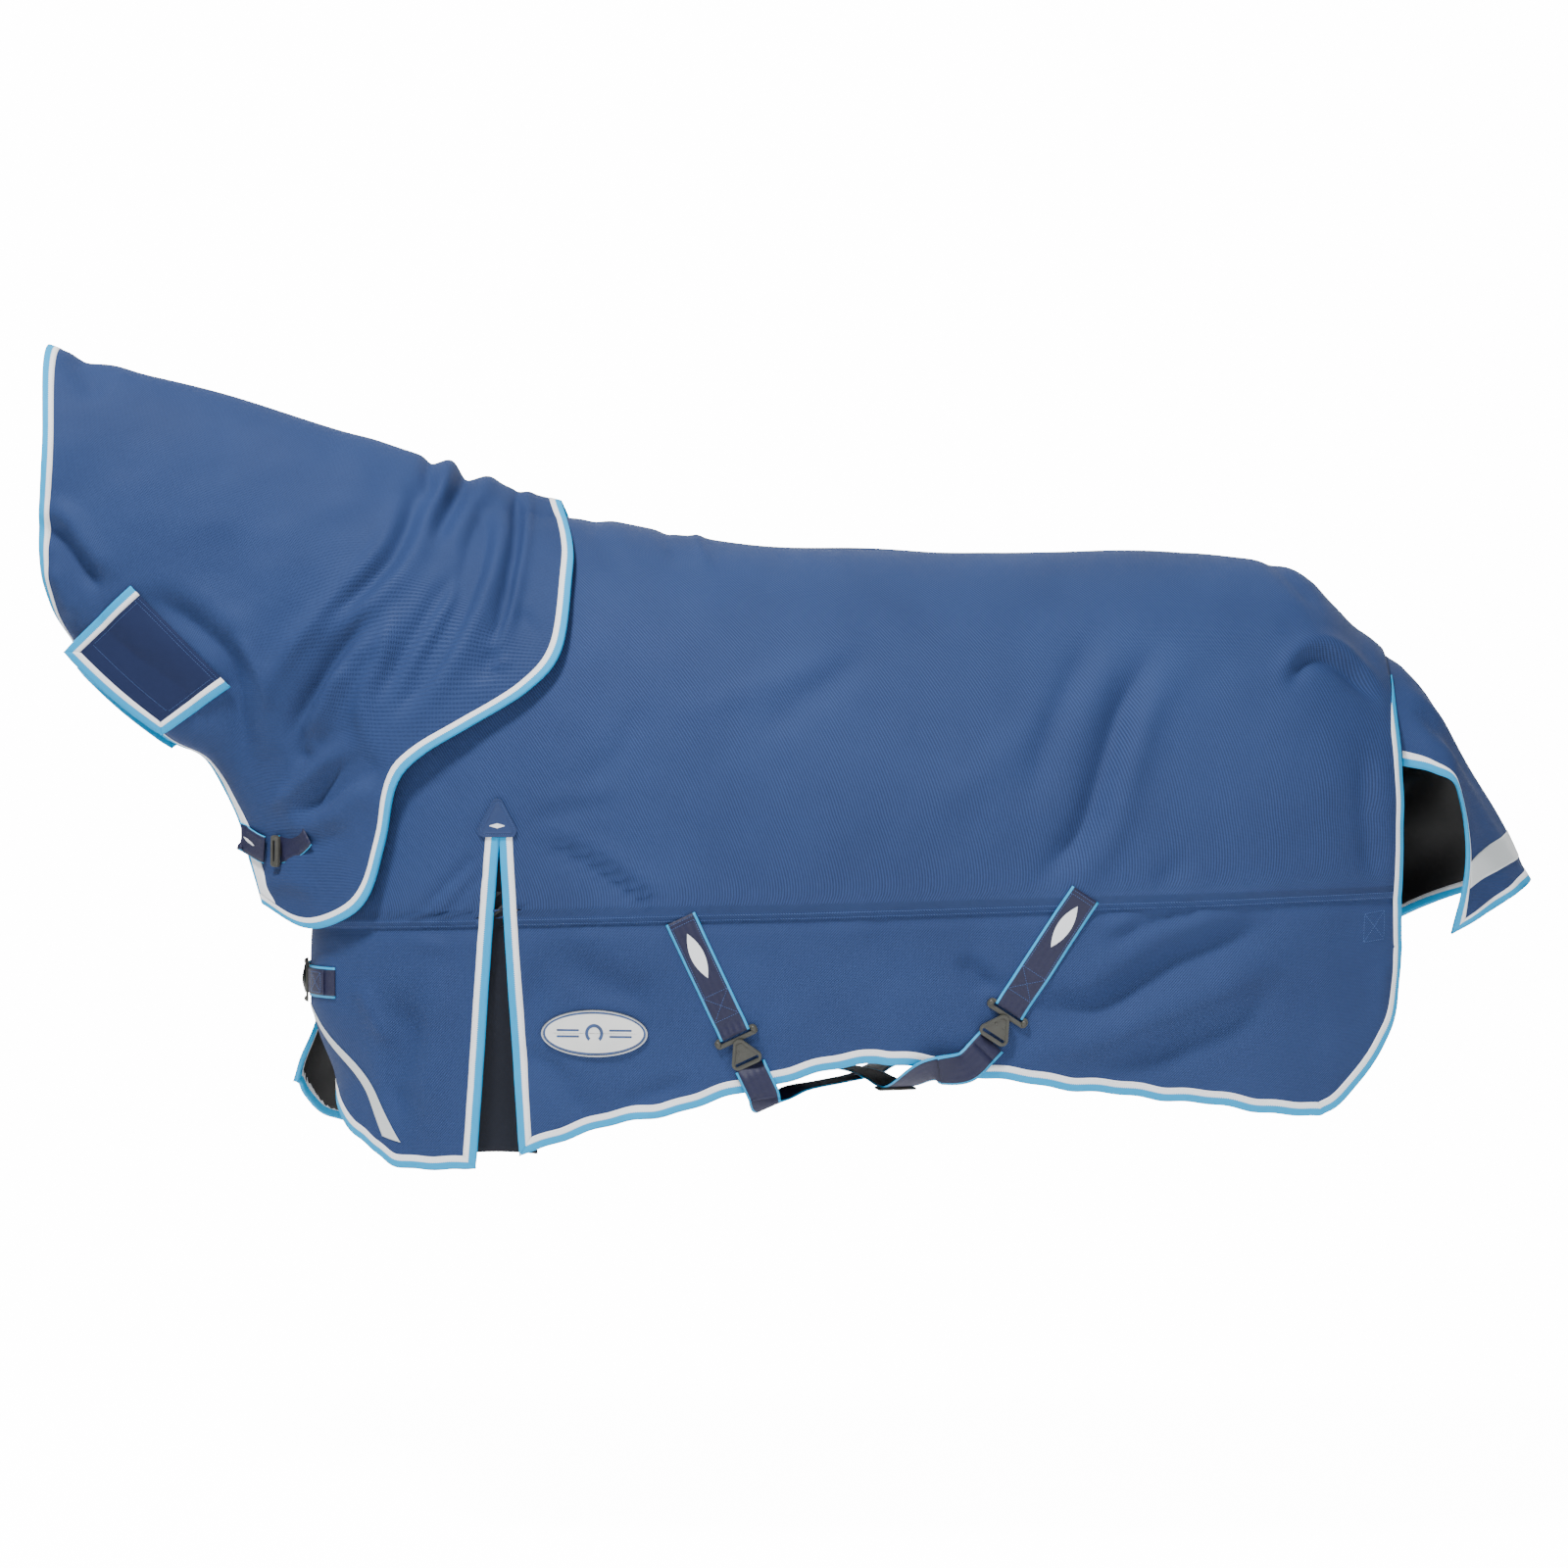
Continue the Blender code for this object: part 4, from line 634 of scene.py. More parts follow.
def seat_on(point, normal, heading):
    """A frame at a point: its Z is the normal and its Y is as near the heading as the face allows."""
    out = Vector(normal).normalized()
    ahead = Vector(heading)
    ahead = (ahead - out * ahead.dot(out)).normalized()
    return Matrix.Translation(Vector(point)) @ Matrix((ahead.cross(out), ahead, out)).transposed().to_4x4()


def side_seat(x, z, side, lift, heading):
    """A frame on the body's side, heading given as (x, z)."""
    foot = drape(run_of(x), turn_of(run_of(x), z, side))
    normal = outward(drape, run_of(x), turn_of(run_of(x), z, side))
    return seat_on(foot + normal * lift, normal, (heading[0], 0, heading[1]))


def moulding(outline, moves, bevel, holes=(), level=0.0):
    """A moulded plate: an outline raised and inset in steps, pierced by holes, with softened edges.

    moves are ("rise", height) and ("inset", width), made one after another on the plate's face.
    """
    bpy.ops.object.select_all(action="DESELECT")
    bpy.ops.mesh.primitive_circle_add(vertices=len(outline), radius=1.0, fill_type="NGON")
    thing = bpy.context.object
    for vertex, spot in zip(thing.data.vertices, outline):
        vertex.co = (spot[0], spot[1], level)
    bpy.ops.object.mode_set(mode="EDIT")
    bpy.ops.mesh.select_all(action="SELECT")
    for kind, amount in moves:
        if kind == "rise":
            bpy.ops.mesh.extrude_region_move(TRANSFORM_OT_translate={"value": (0, 0, amount)})
        else:
            bpy.ops.mesh.inset(thickness=amount, depth=0)
    bpy.ops.mesh.select_all(action="SELECT")
    bpy.ops.mesh.normals_make_consistent(inside=False)
    bpy.ops.object.mode_set(mode="OBJECT")
    for hole in holes:
        pierce(thing, hole)
    if bevel:
        edges = {"limit_method": "ANGLE", "angle_limit": math.radians(35)}
        shape_with(thing, "BEVEL", width=bevel, segments=2, **edges)
    return thing


def pierce(thing, outline):
    """Cuts a hole of an outline right through a plate."""
    cutter = moulding(outline, [("rise", 0.04)], 0, level=-0.02)
    shape_with(thing, "BOOLEAN", operation="DIFFERENCE", solver="EXACT", object=cutter)
    bpy.data.objects.remove(cutter)


def ball(radius, place, flatten=(1, 1, 1)):
    """A small ball, or a flattened one."""
    bpy.ops.object.select_all(action="DESELECT")
    bpy.ops.mesh.primitive_uv_sphere_add(segments=20, ring_count=12, radius=radius)
    thing = bpy.context.object
    thing.data.transform(Matrix.Translation(place) @ Matrix.Diagonal((*flatten, 1)))
    return thing


def rod(radius, length, place, along_x=True, sides=16):
    """A round rod along X or Z."""
    bpy.ops.object.select_all(action="DESELECT")
    bpy.ops.mesh.primitive_cylinder_add(vertices=sides, radius=radius, depth=length)
    thing = bpy.context.object
    turn = Matrix.Rotation(math.pi / 2, 4, "Y") if along_x else Matrix.Identity(4)
    thing.data.transform(Matrix.Translation(place) @ turn)
    return thing


def joined(things):
    """Several pieces made one mesh."""
    bpy.ops.object.select_all(action="DESELECT")
    for thing in things:
        thing.select_set(True)
    bpy.context.view_layer.objects.active = things[0]
    bpy.ops.object.join()
    return things[0]


# ---------------------------------------------------------------------------------------------
# Materials


def colour(code):
    """Linear colour of an sRGB hex value."""
    parts = [int(code[index : index + 2], 16) / 255 for index in (0, 2, 4)]
    return (*[part / 12.92 if part <= 0.04045 else ((part + 0.055) / 1.055) ** 2.4 for part in parts], 1)


def add(tree, kind, inputs=None, **settings):
    """Adds a node with its settings, and sets or links its inputs."""
    made = tree.nodes.new(kind)
    for name, value in settings.items():
        setattr(made, name, value)
    for socket, value in (inputs or {}).items():
        if isinstance(value, bpy.types.NodeSocket):
            tree.links.new(value, made.inputs[socket])
        else:
            made.inputs[socket].default_value = value
    return made


def start_material(name, roughness, **shader_values):
    """A new material: its node tree and its Principled shader."""
    material = bpy.data.materials.new(name)
    material.use_nodes = True
    tree = material.node_tree
    shader = tree.nodes["Principled BSDF"]
    shader.inputs["Roughness"].default_value = roughness
    for socket, value in shader_values.items():
        shader.inputs[socket.replace("_", " ")].default_value = value
    return tree, shader


def cloth_chart(tree):
    """Distances along and across the cloth, in metres, as two sockets."""
    chart = add(tree, "ShaderNodeUVMap", uv_map="cloth")
    parts = add(tree, "ShaderNodeSeparateXYZ", {0: chart.outputs[0]})
    return parts.outputs[0], parts.outputs[1]


def sine(tree, distance, pitch, phase=0.0):
    """A wave from -1 to 1 along a distance, with a pitch in metres."""
    inputs = {0: distance, 1: 2 * math.pi / pitch, 2: phase}
    turned = add(tree, "ShaderNodeMath", inputs, operation="MULTIPLY_ADD")
    return add(tree, "ShaderNodeMath", {0: turned.outputs[0]}, operation="SINE").outputs[0]


def sum_of(tree, first, second, operation="ADD"):
    """Two numbers added, or put together by another operation."""
    return add(tree, "ShaderNodeMath", {0: first, 1: second}, operation=operation).outputs[0]


def blotches(tree, size, detail=3.0):
    """Slow variation over the piece, from 0 to 1, with a size in metres."""
    place = add(tree, "ShaderNodeTexCoord")
    inputs = {"Vector": place.outputs["Object"], "Scale": 1 / size, "Detail": detail}
    noise = add(tree, "ShaderNodeTexNoise", inputs)
    return noise.outputs[0]


def mixed(tree, share, dark, light):
    """A colour between two hex values."""
    inputs = {"Factor": share, 6: colour(dark), 7: colour(light)}
    return add(tree, "ShaderNodeMix", inputs, data_type="RGBA", clamp_factor=True).outputs[2]


def scaled(tree, value, low, high, new_low=0.0, new_high=1.0):
    """A number moved from one range to another, and kept in it."""
    inputs = {0: value, 1: low, 2: high, 3: new_low, 4: new_high}
    return add(tree, "ShaderNodeMapRange", inputs, clamp=True).outputs[0]


def bump(tree, shader, height, distance, strength=1.0):
    """Shading of fine relief, with its true height in metres."""
    made = add(tree, "ShaderNodeBump", {"Height": height, "Distance": distance, "Strength": strength})
    tree.links.new(made.outputs[0], shader.inputs["Normal"])


def basket_weave(tree, pitch):
    """Height of a basket weave, from 0 to 1: two thread directions at 45 degrees to the sheet's edges."""
    along_x, along_y = cloth_chart(tree)
    one = sine(tree, sum_of(tree, along_x, along_y), pitch * math.sqrt(2))
    other = sine(tree, sum_of(tree, along_x, along_y, "SUBTRACT"), pitch * math.sqrt(2), 0.8)
    both = sum_of(tree, one, other, "MULTIPLY")
    return scaled(tree, sum_of(tree, both, one), -1.6, 1.6)


def outer_cloth_material():
    """Coated heavy polyester: a dull blue cloth with a diagonal basket weave.

    Its threads are about 1 mm wide and are drawn three times as coarse, so that they show.
    """
    tree, shader = start_material("coated_polyester_blue", 0.66, Specular_IOR_Level=0.25)
    weave = basket_weave(tree, 3.0 * MM)
    slow = scaled(tree, blotches(tree, 0.25), 0.3, 0.7, -0.10, 0.10)
    share = sum_of(tree, weave, slow)
    tree.links.new(mixed(tree, share, "16264A", "324A7C"), shader.inputs["Base Color"])
    bump(tree, shader, weave, 0.8 * MM, 0.9)


def lining_material():
    """Smooth nylon lining: nearly black, with a soft shine."""
    tree, shader = start_material("nylon_lining_black", 0.48, Specular_IOR_Level=0.45)
    weave = basket_weave(tree, 1.4 * MM)
    tree.links.new(mixed(tree, weave, "0A0A0B", "161618"), shader.inputs["Base Color"])
    bump(tree, shader, weave, 0.15 * MM, 0.4)


def edge_tape_material():
    """Woven polyester edge tape: white inboard and turquoise at the edge, with a zigzag join between them."""
    tree, shader = start_material("edge_tape_white_turquoise", 0.70, Specular_IOR_Level=0.3)
    along_tape, across = cloth_chart(tree)
    from_edge = add(tree, "ShaderNodeMath", {0: across}, operation="ABSOLUTE").outputs[0]
    tooth = add(tree, "ShaderNodeMath", {0: along_tape, 1: 1.7 * MM}, operation="PINGPONG").outputs[0]
    join = sum_of(tree, from_edge, sum_of(tree, tooth, -0.85 * MM), "ADD")
    share = scaled(tree, join, 11.1 * MM, 11.6 * MM)
    rib = scaled(tree, sine(tree, along_tape, 1.5 * MM), -1, 1)
    white = mixed(tree, rib, "EDEFF2", "FDFDFE")
    blue = mixed(tree, rib, "0086C2", "00ACE4")
    tint = add(tree, "ShaderNodeMix", {"Factor": share, 6: blue, 7: white}, data_type="RGBA")
    dash = add(tree, "ShaderNodeMath", {0: along_tape, 1: 3.6 * MM}, operation="PINGPONG").outputs[0]
    dashes = scaled(tree, dash, 0.7 * MM, 1.1 * MM)
    seam = {0: from_edge, 1: 18.4 * MM, 2: 0.45 * MM}
    near_seam = add(tree, "ShaderNodeMath", seam, operation="COMPARE").outputs[0]
    stitch = sum_of(tree, dashes, near_seam, "MULTIPLY")
    inputs = {"Factor": sum_of(tree, stitch, 0.35, "MULTIPLY"), 6: tint.outputs[2], 7: colour("9FA6B0")}
    shade = add(tree, "ShaderNodeMix", inputs, data_type="RGBA")
    tree.links.new(shade.outputs[2], shader.inputs["Base Color"])
    bump(tree, shader, sum_of(tree, rib, sum_of(tree, stitch, -1.5, "MULTIPLY")), 0.25 * MM, 0.5)


def webbing_material():
    """Polypropylene webbing: dark navy herringbone with a turquoise line along each edge."""
    tree, shader = start_material("webbing_navy_turquoise", 0.50, Specular_IOR_Level=0.45)
    along_strap, across = cloth_chart(tree)
    column = add(tree, "ShaderNodeMath", {0: across, 1: 5 * MM}, operation="PINGPONG").outputs[0]
    herringbone = scaled(tree, sine(tree, sum_of(tree, along_strap, column), 2.2 * MM), -1, 1)
    from_middle = add(tree, "ShaderNodeMath", {0: across}, operation="ABSOLUTE").outputs[0]
    edge = scaled(tree, from_middle, 21.0 * MM, 21.5 * MM)
    navy = mixed(tree, herringbone, "0C0E28", "1B1D44")
    blue = mixed(tree, herringbone, "0086C2", "00ACE4")
    tint = add(tree, "ShaderNodeMix", {"Factor": edge, 6: navy, 7: blue}, data_type="RGBA")
    tree.links.new(tint.outputs[2], shader.inputs["Base Color"])
    bump(tree, shader, herringbone, 0.35 * MM, 0.6)


def plastic_material():
    """Moulded acetal plastic: dark warm grey, satin, with a fine spark-eroded grain."""
    tree, shader = start_material("moulded_plastic_grey", 0.42, IOR=1.48)
    grain = blotches(tree, 0.8 * MM, 2.0)
    wear = blotches(tree, 18 * MM)
    tree.links.new(mixed(tree, wear, "34342F", "46463F"), shader.inputs["Base Color"])
    tree.links.new(scaled(tree, wear, 0.3, 0.7, 0.36, 0.50), shader.inputs["Roughness"])
    bump(tree, shader, grain, 0.06 * MM, 0.5)


def reflective_material():
    """Retroreflective tape: pale grey beads on cloth, with a soft shine."""
    tree, shader = start_material("reflective_tape_grey", 0.38, Specular_IOR_Level=0.6, Metallic=0.25)
    along_tape, across = cloth_chart(tree)
    cells = sum_of(tree, sine(tree, along_tape, 1.6 * MM), sine(tree, across, 1.6 * MM), "MULTIPLY")
    bead = scaled(tree, cells, -1, 1)
    tree.links.new(mixed(tree, bead, "C6CCCD", "DCE1E2"), shader.inputs["Base Color"])
    bump(tree, shader, bead, 0.08 * MM, 0.5)


def rubber_material():
    """Soft moulded rubber patch: matt dark navy with a fine leathery grain."""
    tree, shader = start_material("moulded_rubber_blue", 0.55, Specular_IOR_Level=0.4)
    grain = blotches(tree, 1.2 * MM, 2.0)
    tree.links.new(mixed(tree, grain, "1E2E54", "2A3F6C"), shader.inputs["Base Color"])
    bump(tree, shader, grain, 0.10 * MM, 0.5)


def badge_materials():
    """Domed badge: a pale printed face under clear resin, a silver rim, and a dark printed line and mark."""
    tree, shader = start_material("badge_face_pale", 0.22, Coat_Weight=0.8, Coat_Roughness=0.08)
    tone = blotches(tree, 60 * MM, 1.0)
    tree.links.new(mixed(tree, tone, "C9CDD0", "F1F0EA"), shader.inputs["Base Color"])
    tree, shader = start_material("badge_rim_silver", 0.26, Metallic=1.0)
    tone = blotches(tree, 25 * MM, 1.0)
    tree.links.new(mixed(tree, tone, "8E9296", "D2D4D6"), shader.inputs["Base Color"])
    tree, shader = start_material("badge_print_navy", 0.30, Coat_Weight=0.6, Coat_Roughness=0.1)
    tone = blotches(tree, 20 * MM, 1.0)
    tree.links.new(mixed(tree, tone, "10203F", "24508F"), shader.inputs["Base Color"])


def print_material():
    """White screen print on webbing: the ink sits on the weave and shows it faintly."""
    tree, shader = start_material("screen_print_white", 0.55)
    along_strap, across = cloth_chart(tree)
    herringbone = scaled(tree, sine(tree, sum_of(tree, along_strap, across), 2.2 * MM), -1, 1)
    tree.links.new(mixed(tree, herringbone, "D9DCE2", "F5F6F8"), shader.inputs["Base Color"])
    bump(tree, shader, herringbone, 0.15 * MM, 0.4)


def touch_tape_material():
    """Backed touch tape tab: plain dark navy pack cloth, flatter than the outer cloth."""
    tree, shader = start_material("tab_cloth_navy", 0.72, Specular_IOR_Level=0.25)
    weave = basket_weave(tree, 1.6 * MM)
    tree.links.new(mixed(tree, weave, "10193A", "1A2950"), shader.inputs["Base Color"])
    bump(tree, shader, weave, 0.2 * MM, 0.5)


def thread_material():
    """Bonded polyester sewing thread, a shade lighter than the cloth."""
    tree, shader = start_material("sewing_thread_navy", 0.5)
    tone = blotches(tree, 6 * MM, 2.0)
    tree.links.new(mixed(tree, tone, "2B4475", "4A6AA5"), shader.inputs["Base Color"])


def gusset_cloth_material():
    """The pleat's inner panel: the same polyester as the outer cloth in navy, darkened nearly to black as
    painted shade of the slit.
    """
    tree, shader = start_material("coated_polyester_navy_with_painted_shade", 0.66, Specular_IOR_Level=0.3)
    weave = basket_weave(tree, 2.2 * MM)
    # Navy darkened nearly to black: painted shade of the slit laid over the panel's own navy.
    tree.links.new(mixed(tree, weave, "070A12", "0E1526"), shader.inputs["Base Color"])
    bump(tree, shader, weave, 0.35 * MM, 0.5)


# ---------------------------------------------------------------------------------------------
# Body cloth


def neckline(turn):
    """Run of the body's neckline at a turn over the withers."""
    return run_of(neckline_x(turn))


def slit_edge(z, end, inward=0.0):
    """Run of a gusset slit's front or rear edge at a height, moved away from the slit."""
    low = -0.975
    share = (z - GUSSET_TOP) / (low - GUSSET_TOP)
    run = run_of(GUSSET_X + (GUSSET_BOTTOM[end] - GUSSET_X) * share)
    return run + (inward + FIT_GAP) * (1 if end == "rear" else -1)


def in_slit(points, margin=9 * MM):
    """Which places lie in a gusset slit, with a margin that its tapes cover."""
    run, z = run_of(points[:, 0]), points[:, 2]
    inside = (run > slit_edge(z, "front", margin)) & (run < slit_edge(z, "rear", margin))
    return inside & (z < GUSSET_TOP + margin)


def back_place(u, v, spread=1.0):
    """The back's sheet, from neckline to rear edge and from the left seam to the right."""
    foot = turn_of(GIRTH / 2, seam_at(GIRTH / 2), RIGHT)
    turn = (2 * v - 1) * foot
    start = neckline(turn) + EDGE_INSET
    run = start + (GIRTH - EDGE_INSET - start) * u
    low = np.abs(turn_of(run, seam_at(run), RIGHT))
    down = np.clip((np.abs(turn) - 1) / (foot - 1), 0, 1)
    turn = np.where(np.abs(turn) > 1, np.copysign(1 + down * (low - 1), turn), turn)
    return body(run, turn, 0.0, spread)


def back_cloth():
    """The outer cloth over the back and both sides, cut away at the gusset slits."""

    def smooth(u, v):
        return back_place(u, v, 0.0)

    thing = sheet_of(215, 168, back_place, OUTER_THICKNESS, hole=in_slit, smooth=smooth)
    set_material(thing, "coated_polyester_blue")
    finish_piece(thing, "back_cloth", "rug", ["back_panel"])


def side_place(u, v, side, first, last, top, spread=1.0):
    """A sheet down one side between two upright edges, from a top line to the hem."""
    z = np.full_like(u, WIDE)
    for _ in range(4):
        run = first(z) + (last(z) - first(z)) * u
        z = top(run) + (hem_at(run) + EDGE_INSET - top(run)) * v
    under_lap = smooth_step((z - seam_at(run) + SEAM_LAP) / SEAM_LAP + 0.4) * (OUTER_THICKNESS + 0.4 * MM)
    return body(run, turn_of(run, z, side), -under_lap, spread)


def lower_cloth():
    """The chest and flank panels below the belly seam."""
    for name, side in SIDES:
        edges = {
            "chest": (lambda z: EDGE_INSET + 0 * z, lambda z: slit_edge(z, "front", EDGE_INSET), 44, 46),
            "flank": (
                lambda z: slit_edge(z, "rear", EDGE_INSET), lambda z: GIRTH - EDGE_INSET + 0 * z, 190, 46,
            ),
        }
        for part, (first, last, columns, rows) in edges.items():

            def place(u, v, spread=1.0):
                return side_place(u, v, side, first, last, lambda run: seam_at(run) + SEAM_LAP, spread)

            def smooth(u, v):
                return place(u, v, 0.0)

            thing = sheet_of(columns, rows, place, OUTER_THICKNESS, flip=side < 0, smooth=smooth)
            set_material(thing, "coated_polyester_blue")
            finish_piece(thing, f"{part}_cloth_{name}", "rug", [f"{part}_panel_{name}"])


def lining_cloth():
    """One lining from hem to hem, under the back and the lower panels."""
    rows, back_rows = 132, 84
    side_rows = (rows - back_rows) / 2

    def place(u, v):
        row = v * rows - side_rows
        spot = np.clip(row / back_rows, 0, 1)
        foot = turn_of(GIRTH / 2, seam_at(GIRTH / 2), RIGHT)
        turn = (2 * spot - 1) * foot
        start = neckline(turn) + EDGE_INSET
        run = start + (GIRTH - EDGE_INSET - start) * u
        below = np.clip(np.maximum(-row, row - back_rows) / side_rows, 0, 1)
        low = turn_of(run, hem_at(run) + EDGE_INSET, np.copysign(1.0, turn))
        seam = turn_of(run, seam_at(run), np.copysign(1.0, turn))
        down = np.clip((np.abs(turn) - 1) / (foot - 1), 0, 1)
        turn = np.where(np.abs(turn) > 1, np.sign(turn) + (seam - np.sign(turn)) * down, turn)
        turn = turn + (low - turn) * below
        return body(run, turn, -LINING_DEPTH, LINING_SPREAD)

    thing = sheet_of(150, rows, place, LINING_THICKNESS, hole=in_slit)
    set_material(thing, "nylon_lining_black")
    finish_piece(thing, "lining", "rug", ["body_lining"])


def gusset_cloth():
    """The pleat's inner panel, hung in soft folds behind the slit."""
    inset = TAPE_WIDTH + 6 * MM
    for name, side in SIDES:

        def place(u, v):
            z = (GUSSET_TOP - 0.012) + (hem_at(run_of(GUSSET_X)) + 0.010 - GUSSET_TOP + 0.012) * v
            first, last = slit_edge(z, "front", inset), slit_edge(z, "rear", inset)
            run = first + (last - first) * u
            pleat = 0.010 * np.sin(u * math.pi) * smooth_step(v * 1.6) * (1 + 0.3 * np.sin(v * 9))
            return body(run, turn_of(run, z, side), -(9 * MM + pleat))

        thing = sheet_of(18, 70, place, OUTER_THICKNESS, flip=side < 0)
        set_material(thing, "coated_polyester_navy_with_painted_shade")
        finish_piece(thing, f"gusset_cloth_{name}", "rug", [f"shoulder_gusset_{name}"])


# ---------------------------------------------------------------------------------------------
# Edge tapes

# Section of a folded tape from its sewn edge round the nose to the back: share of its width, and lift.
TAPE_SECTION = np.array((
    (1.00, 0.0), (0.975, 0.95), (0.72, 1.15), (0.40, 1.15), (0.12, 1.15), (0.02, 0.8), (-0.045, -0.6),
    (-0.075, -2.6), (-0.045, -4.9), (0.02, -6.2), (0.12, -6.6), (0.45, -6.7), (0.975, -6.5), (1.00, -5.7),
))


def tape_of(surface, outer, inner, depth=STACK_DEPTH):
    """Edge tape folded over an edge: outer and inner are its nose and its sewn line on the surface."""
    outer, inner = np.array(outer), np.array(inner)
    share, lift = TAPE_SECTION.T
    lift = np.where(lift < 0, lift * depth / STACK_DEPTH, lift)
    rows = len(share) - 1
    fold_row = np.argmin(share)

    def place(u, v):
        index = np.rint(u * (len(outer) - 1)).astype(int)
        row = np.rint(v * rows).astype(int)
        spot = outer[index] + (inner[index] - outer[index]) * share[row][:, None]
        return surface(spot[:, 0], spot[:, 1], lift[row] * MM)

    nose, sewn = surface(outer[:, 0], outer[:, 1], 0.0), surface(inner[:, 0], inner[:, 1], 0.0)
    edge = length_along(nose)
    width = np.linalg.norm(sewn - nose, axis=1)

    def marks(i, j, points):
        across = share[j] * width[i] * np.where(j > fold_row, -1, 1)
        return np.stack([edge[i], across], -1)

    middle = len(outer) // 2
    before, here, after = surface(outer[middle - 1 : middle + 2, 0], outer[middle - 1 : middle + 2, 1], 0.0)
    inwards = surface(inner[middle, 0], inner[middle, 1], 0.0) - here
    out = surface(outer[middle, 0], outer[middle, 1], 5 * MM) - here
    flip = np.cross(after - before, -inwards) @ out < 0
    thing = sheet_of(len(outer) - 1, rows, place, TAPE_THICKNESS * 0.8, marks=marks, flip=flip)
    set_material(thing, "edge_tape_white_turquoise")
    return thing


def three_sides(across, down, count):
    """Nose and sewn line round three sides of a unit square, with mitred corners and given tape widths."""
    p = np.linspace(0, 1, count)
    low, high = 0 * p, 1 + 0 * p
    side = across * np.minimum(1.0, (1 - p) / down)
    foot = 1 - down * np.minimum(1.0, np.minimum(p, 1 - p) / across)
    outer = np.vstack([np.stack([low, p], 1), np.stack([p, high], 1), np.stack([high, p], 1)[::-1]])
    inner = np.vstack([np.stack([side, p], 1), np.stack([p, foot], 1), np.stack([1 - side, p], 1)[::-1]])
    return outer, inner


def mitred(stretches, width):
    """Nose and sewn line of a tape along smooth stretches of (run, z) that meet at mitred corners."""
    headings = []
    for stretch in stretches:
        step = np.gradient(stretch, axis=0)
        headings.append(step / np.linalg.norm(step, axis=1)[:, None])
    outer, inner = [], []
    for index, stretch in enumerate(stretches):
        run = length_along(stretch)
        wide = np.full(len(run), width)
        for corner, distance in ((index - 1, run), (index, run[-1] - run)):
            if 0 <= corner < len(stretches) - 1:
                before, after = headings[corner][-1], headings[corner + 1][0]
                bend = math.atan2(before[0] * after[1] - before[1] * after[0], before @ after)
                if bend > 0.1:
                    wide = np.minimum(wide, distance / math.tan(bend / 2))
        left = np.stack([-headings[index][:, 1], headings[index][:, 0]], 1)
        outer.append(stretch)
        inner.append(stretch + left * wide[:, None])
    return np.vstack(outer), np.vstack(inner)


def evenly(points):
    """Points every 6 mm along an edge, closer near its ends, where corners are mitred."""
    run = length_along(points)
    near = np.array((0.0, 1.5, 4.0)) * MM
    between = np.linspace(8 * MM, run[-1] - 8 * MM, max(4, int(run[-1] / (6 * MM))))
    at = np.concatenate([near, between, run[-1] - near[::-1]])
    return np.stack([np.interp(at, run, points[:, axis]) for axis in (0, 1)], 1)


def stretch_of(run_start, run_end, z_of):
    """A stretch of edge along the rug, as (run, z)."""
    run = np.linspace(run_start, run_end, 4000)
    return evenly(np.stack([run, z_of(run)], 1))


def upright_of(z_start, z_end, run_of_z):
    """A stretch of edge up or down the rug, as (run, z)."""
    z = np.linspace(z_start, z_end, 400)
    return evenly(np.stack([run_of_z(z), z], 1))


def body_tapes():
    """Tapes round each chest panel and each flank panel."""
    front_run = slit_edge(-0.975, "front")
    rear_run = slit_edge(-0.975, "rear")
    chest_top = seam_at(0.0) + 0.004
    chest = [
        upright_of(chest_top, hem_at(0.0), lambda z: 0 * z),
        stretch_of(0.0, front_run, hem_at),
        upright_of(hem_at(front_run), GUSSET_TOP, lambda z: slit_edge(z, "front")),
    ]
    flank = [
        upright_of(GUSSET_TOP, hem_at(rear_run), lambda z: slit_edge(z, "rear")),
        stretch_of(rear_run, GIRTH, hem_at),
        upright_of(hem_at(GIRTH), REAR_TAPE_TOP, lambda z: GIRTH + 0 * z),
    ]
    for name, side in SIDES:

        def surface(run, z, lift):
            return body(run, turn_of(run, z, side), lift)

        for part, stretches in (("chest", chest), ("flank", flank)):
            outer, inner = mitred(stretches, TAPE_WIDTH)
            if part == "flank":
                inner = taper_end(outer, inner, 0.10)
            thing = tape_of(surface, outer, inner)
            finish_piece(thing, f"{part}_edge_tape_{name}", "rug", [f"{part}_tape_{name}"])


def taper_end(outer, inner, reach):
    """Draws a tape's visible width in over its last stretch, where it runs out under the rump."""
    left = length_along(outer)[-1] - length_along(outer)
    share = 0.12 + 0.88 * smooth_step(left / reach)
    return outer + (inner - outer) * share[:, None]


def neckline_tape():
    """Tape along the neckline, over the withers from one chest edge to the other."""
    turn = np.linspace(-NECKLINE_TURN, NECKLINE_TURN, 260)
    outer = np.stack([neckline(turn), turn], 1)
    inner = np.stack([neckline(turn) + TAPE_WIDTH, turn], 1)
    thing = tape_of(body, outer, inner)
    finish_piece(thing, "neckline_edge_tape", "rug", ["neckline_tape"])


# ---------------------------------------------------------------------------------------------
# Neck cover and tail flap


# A throat tape's width as a share of a turn, and the length of half a turn that the insets are taken from.
THROAT_WIDTH = 0.098
NECK_HALF_ROUND = 0.42


def neck_inset(turn, at_face, width=TAPE_WIDTH):
    """Share of the neck cover's length that a width takes at a turn."""
    low, high = (0.0, 0.02) if at_face else (0.98, 1.0)
    return width * 0.02 / np.linalg.norm(neck(high, turn) - neck(low, turn), axis=-1)


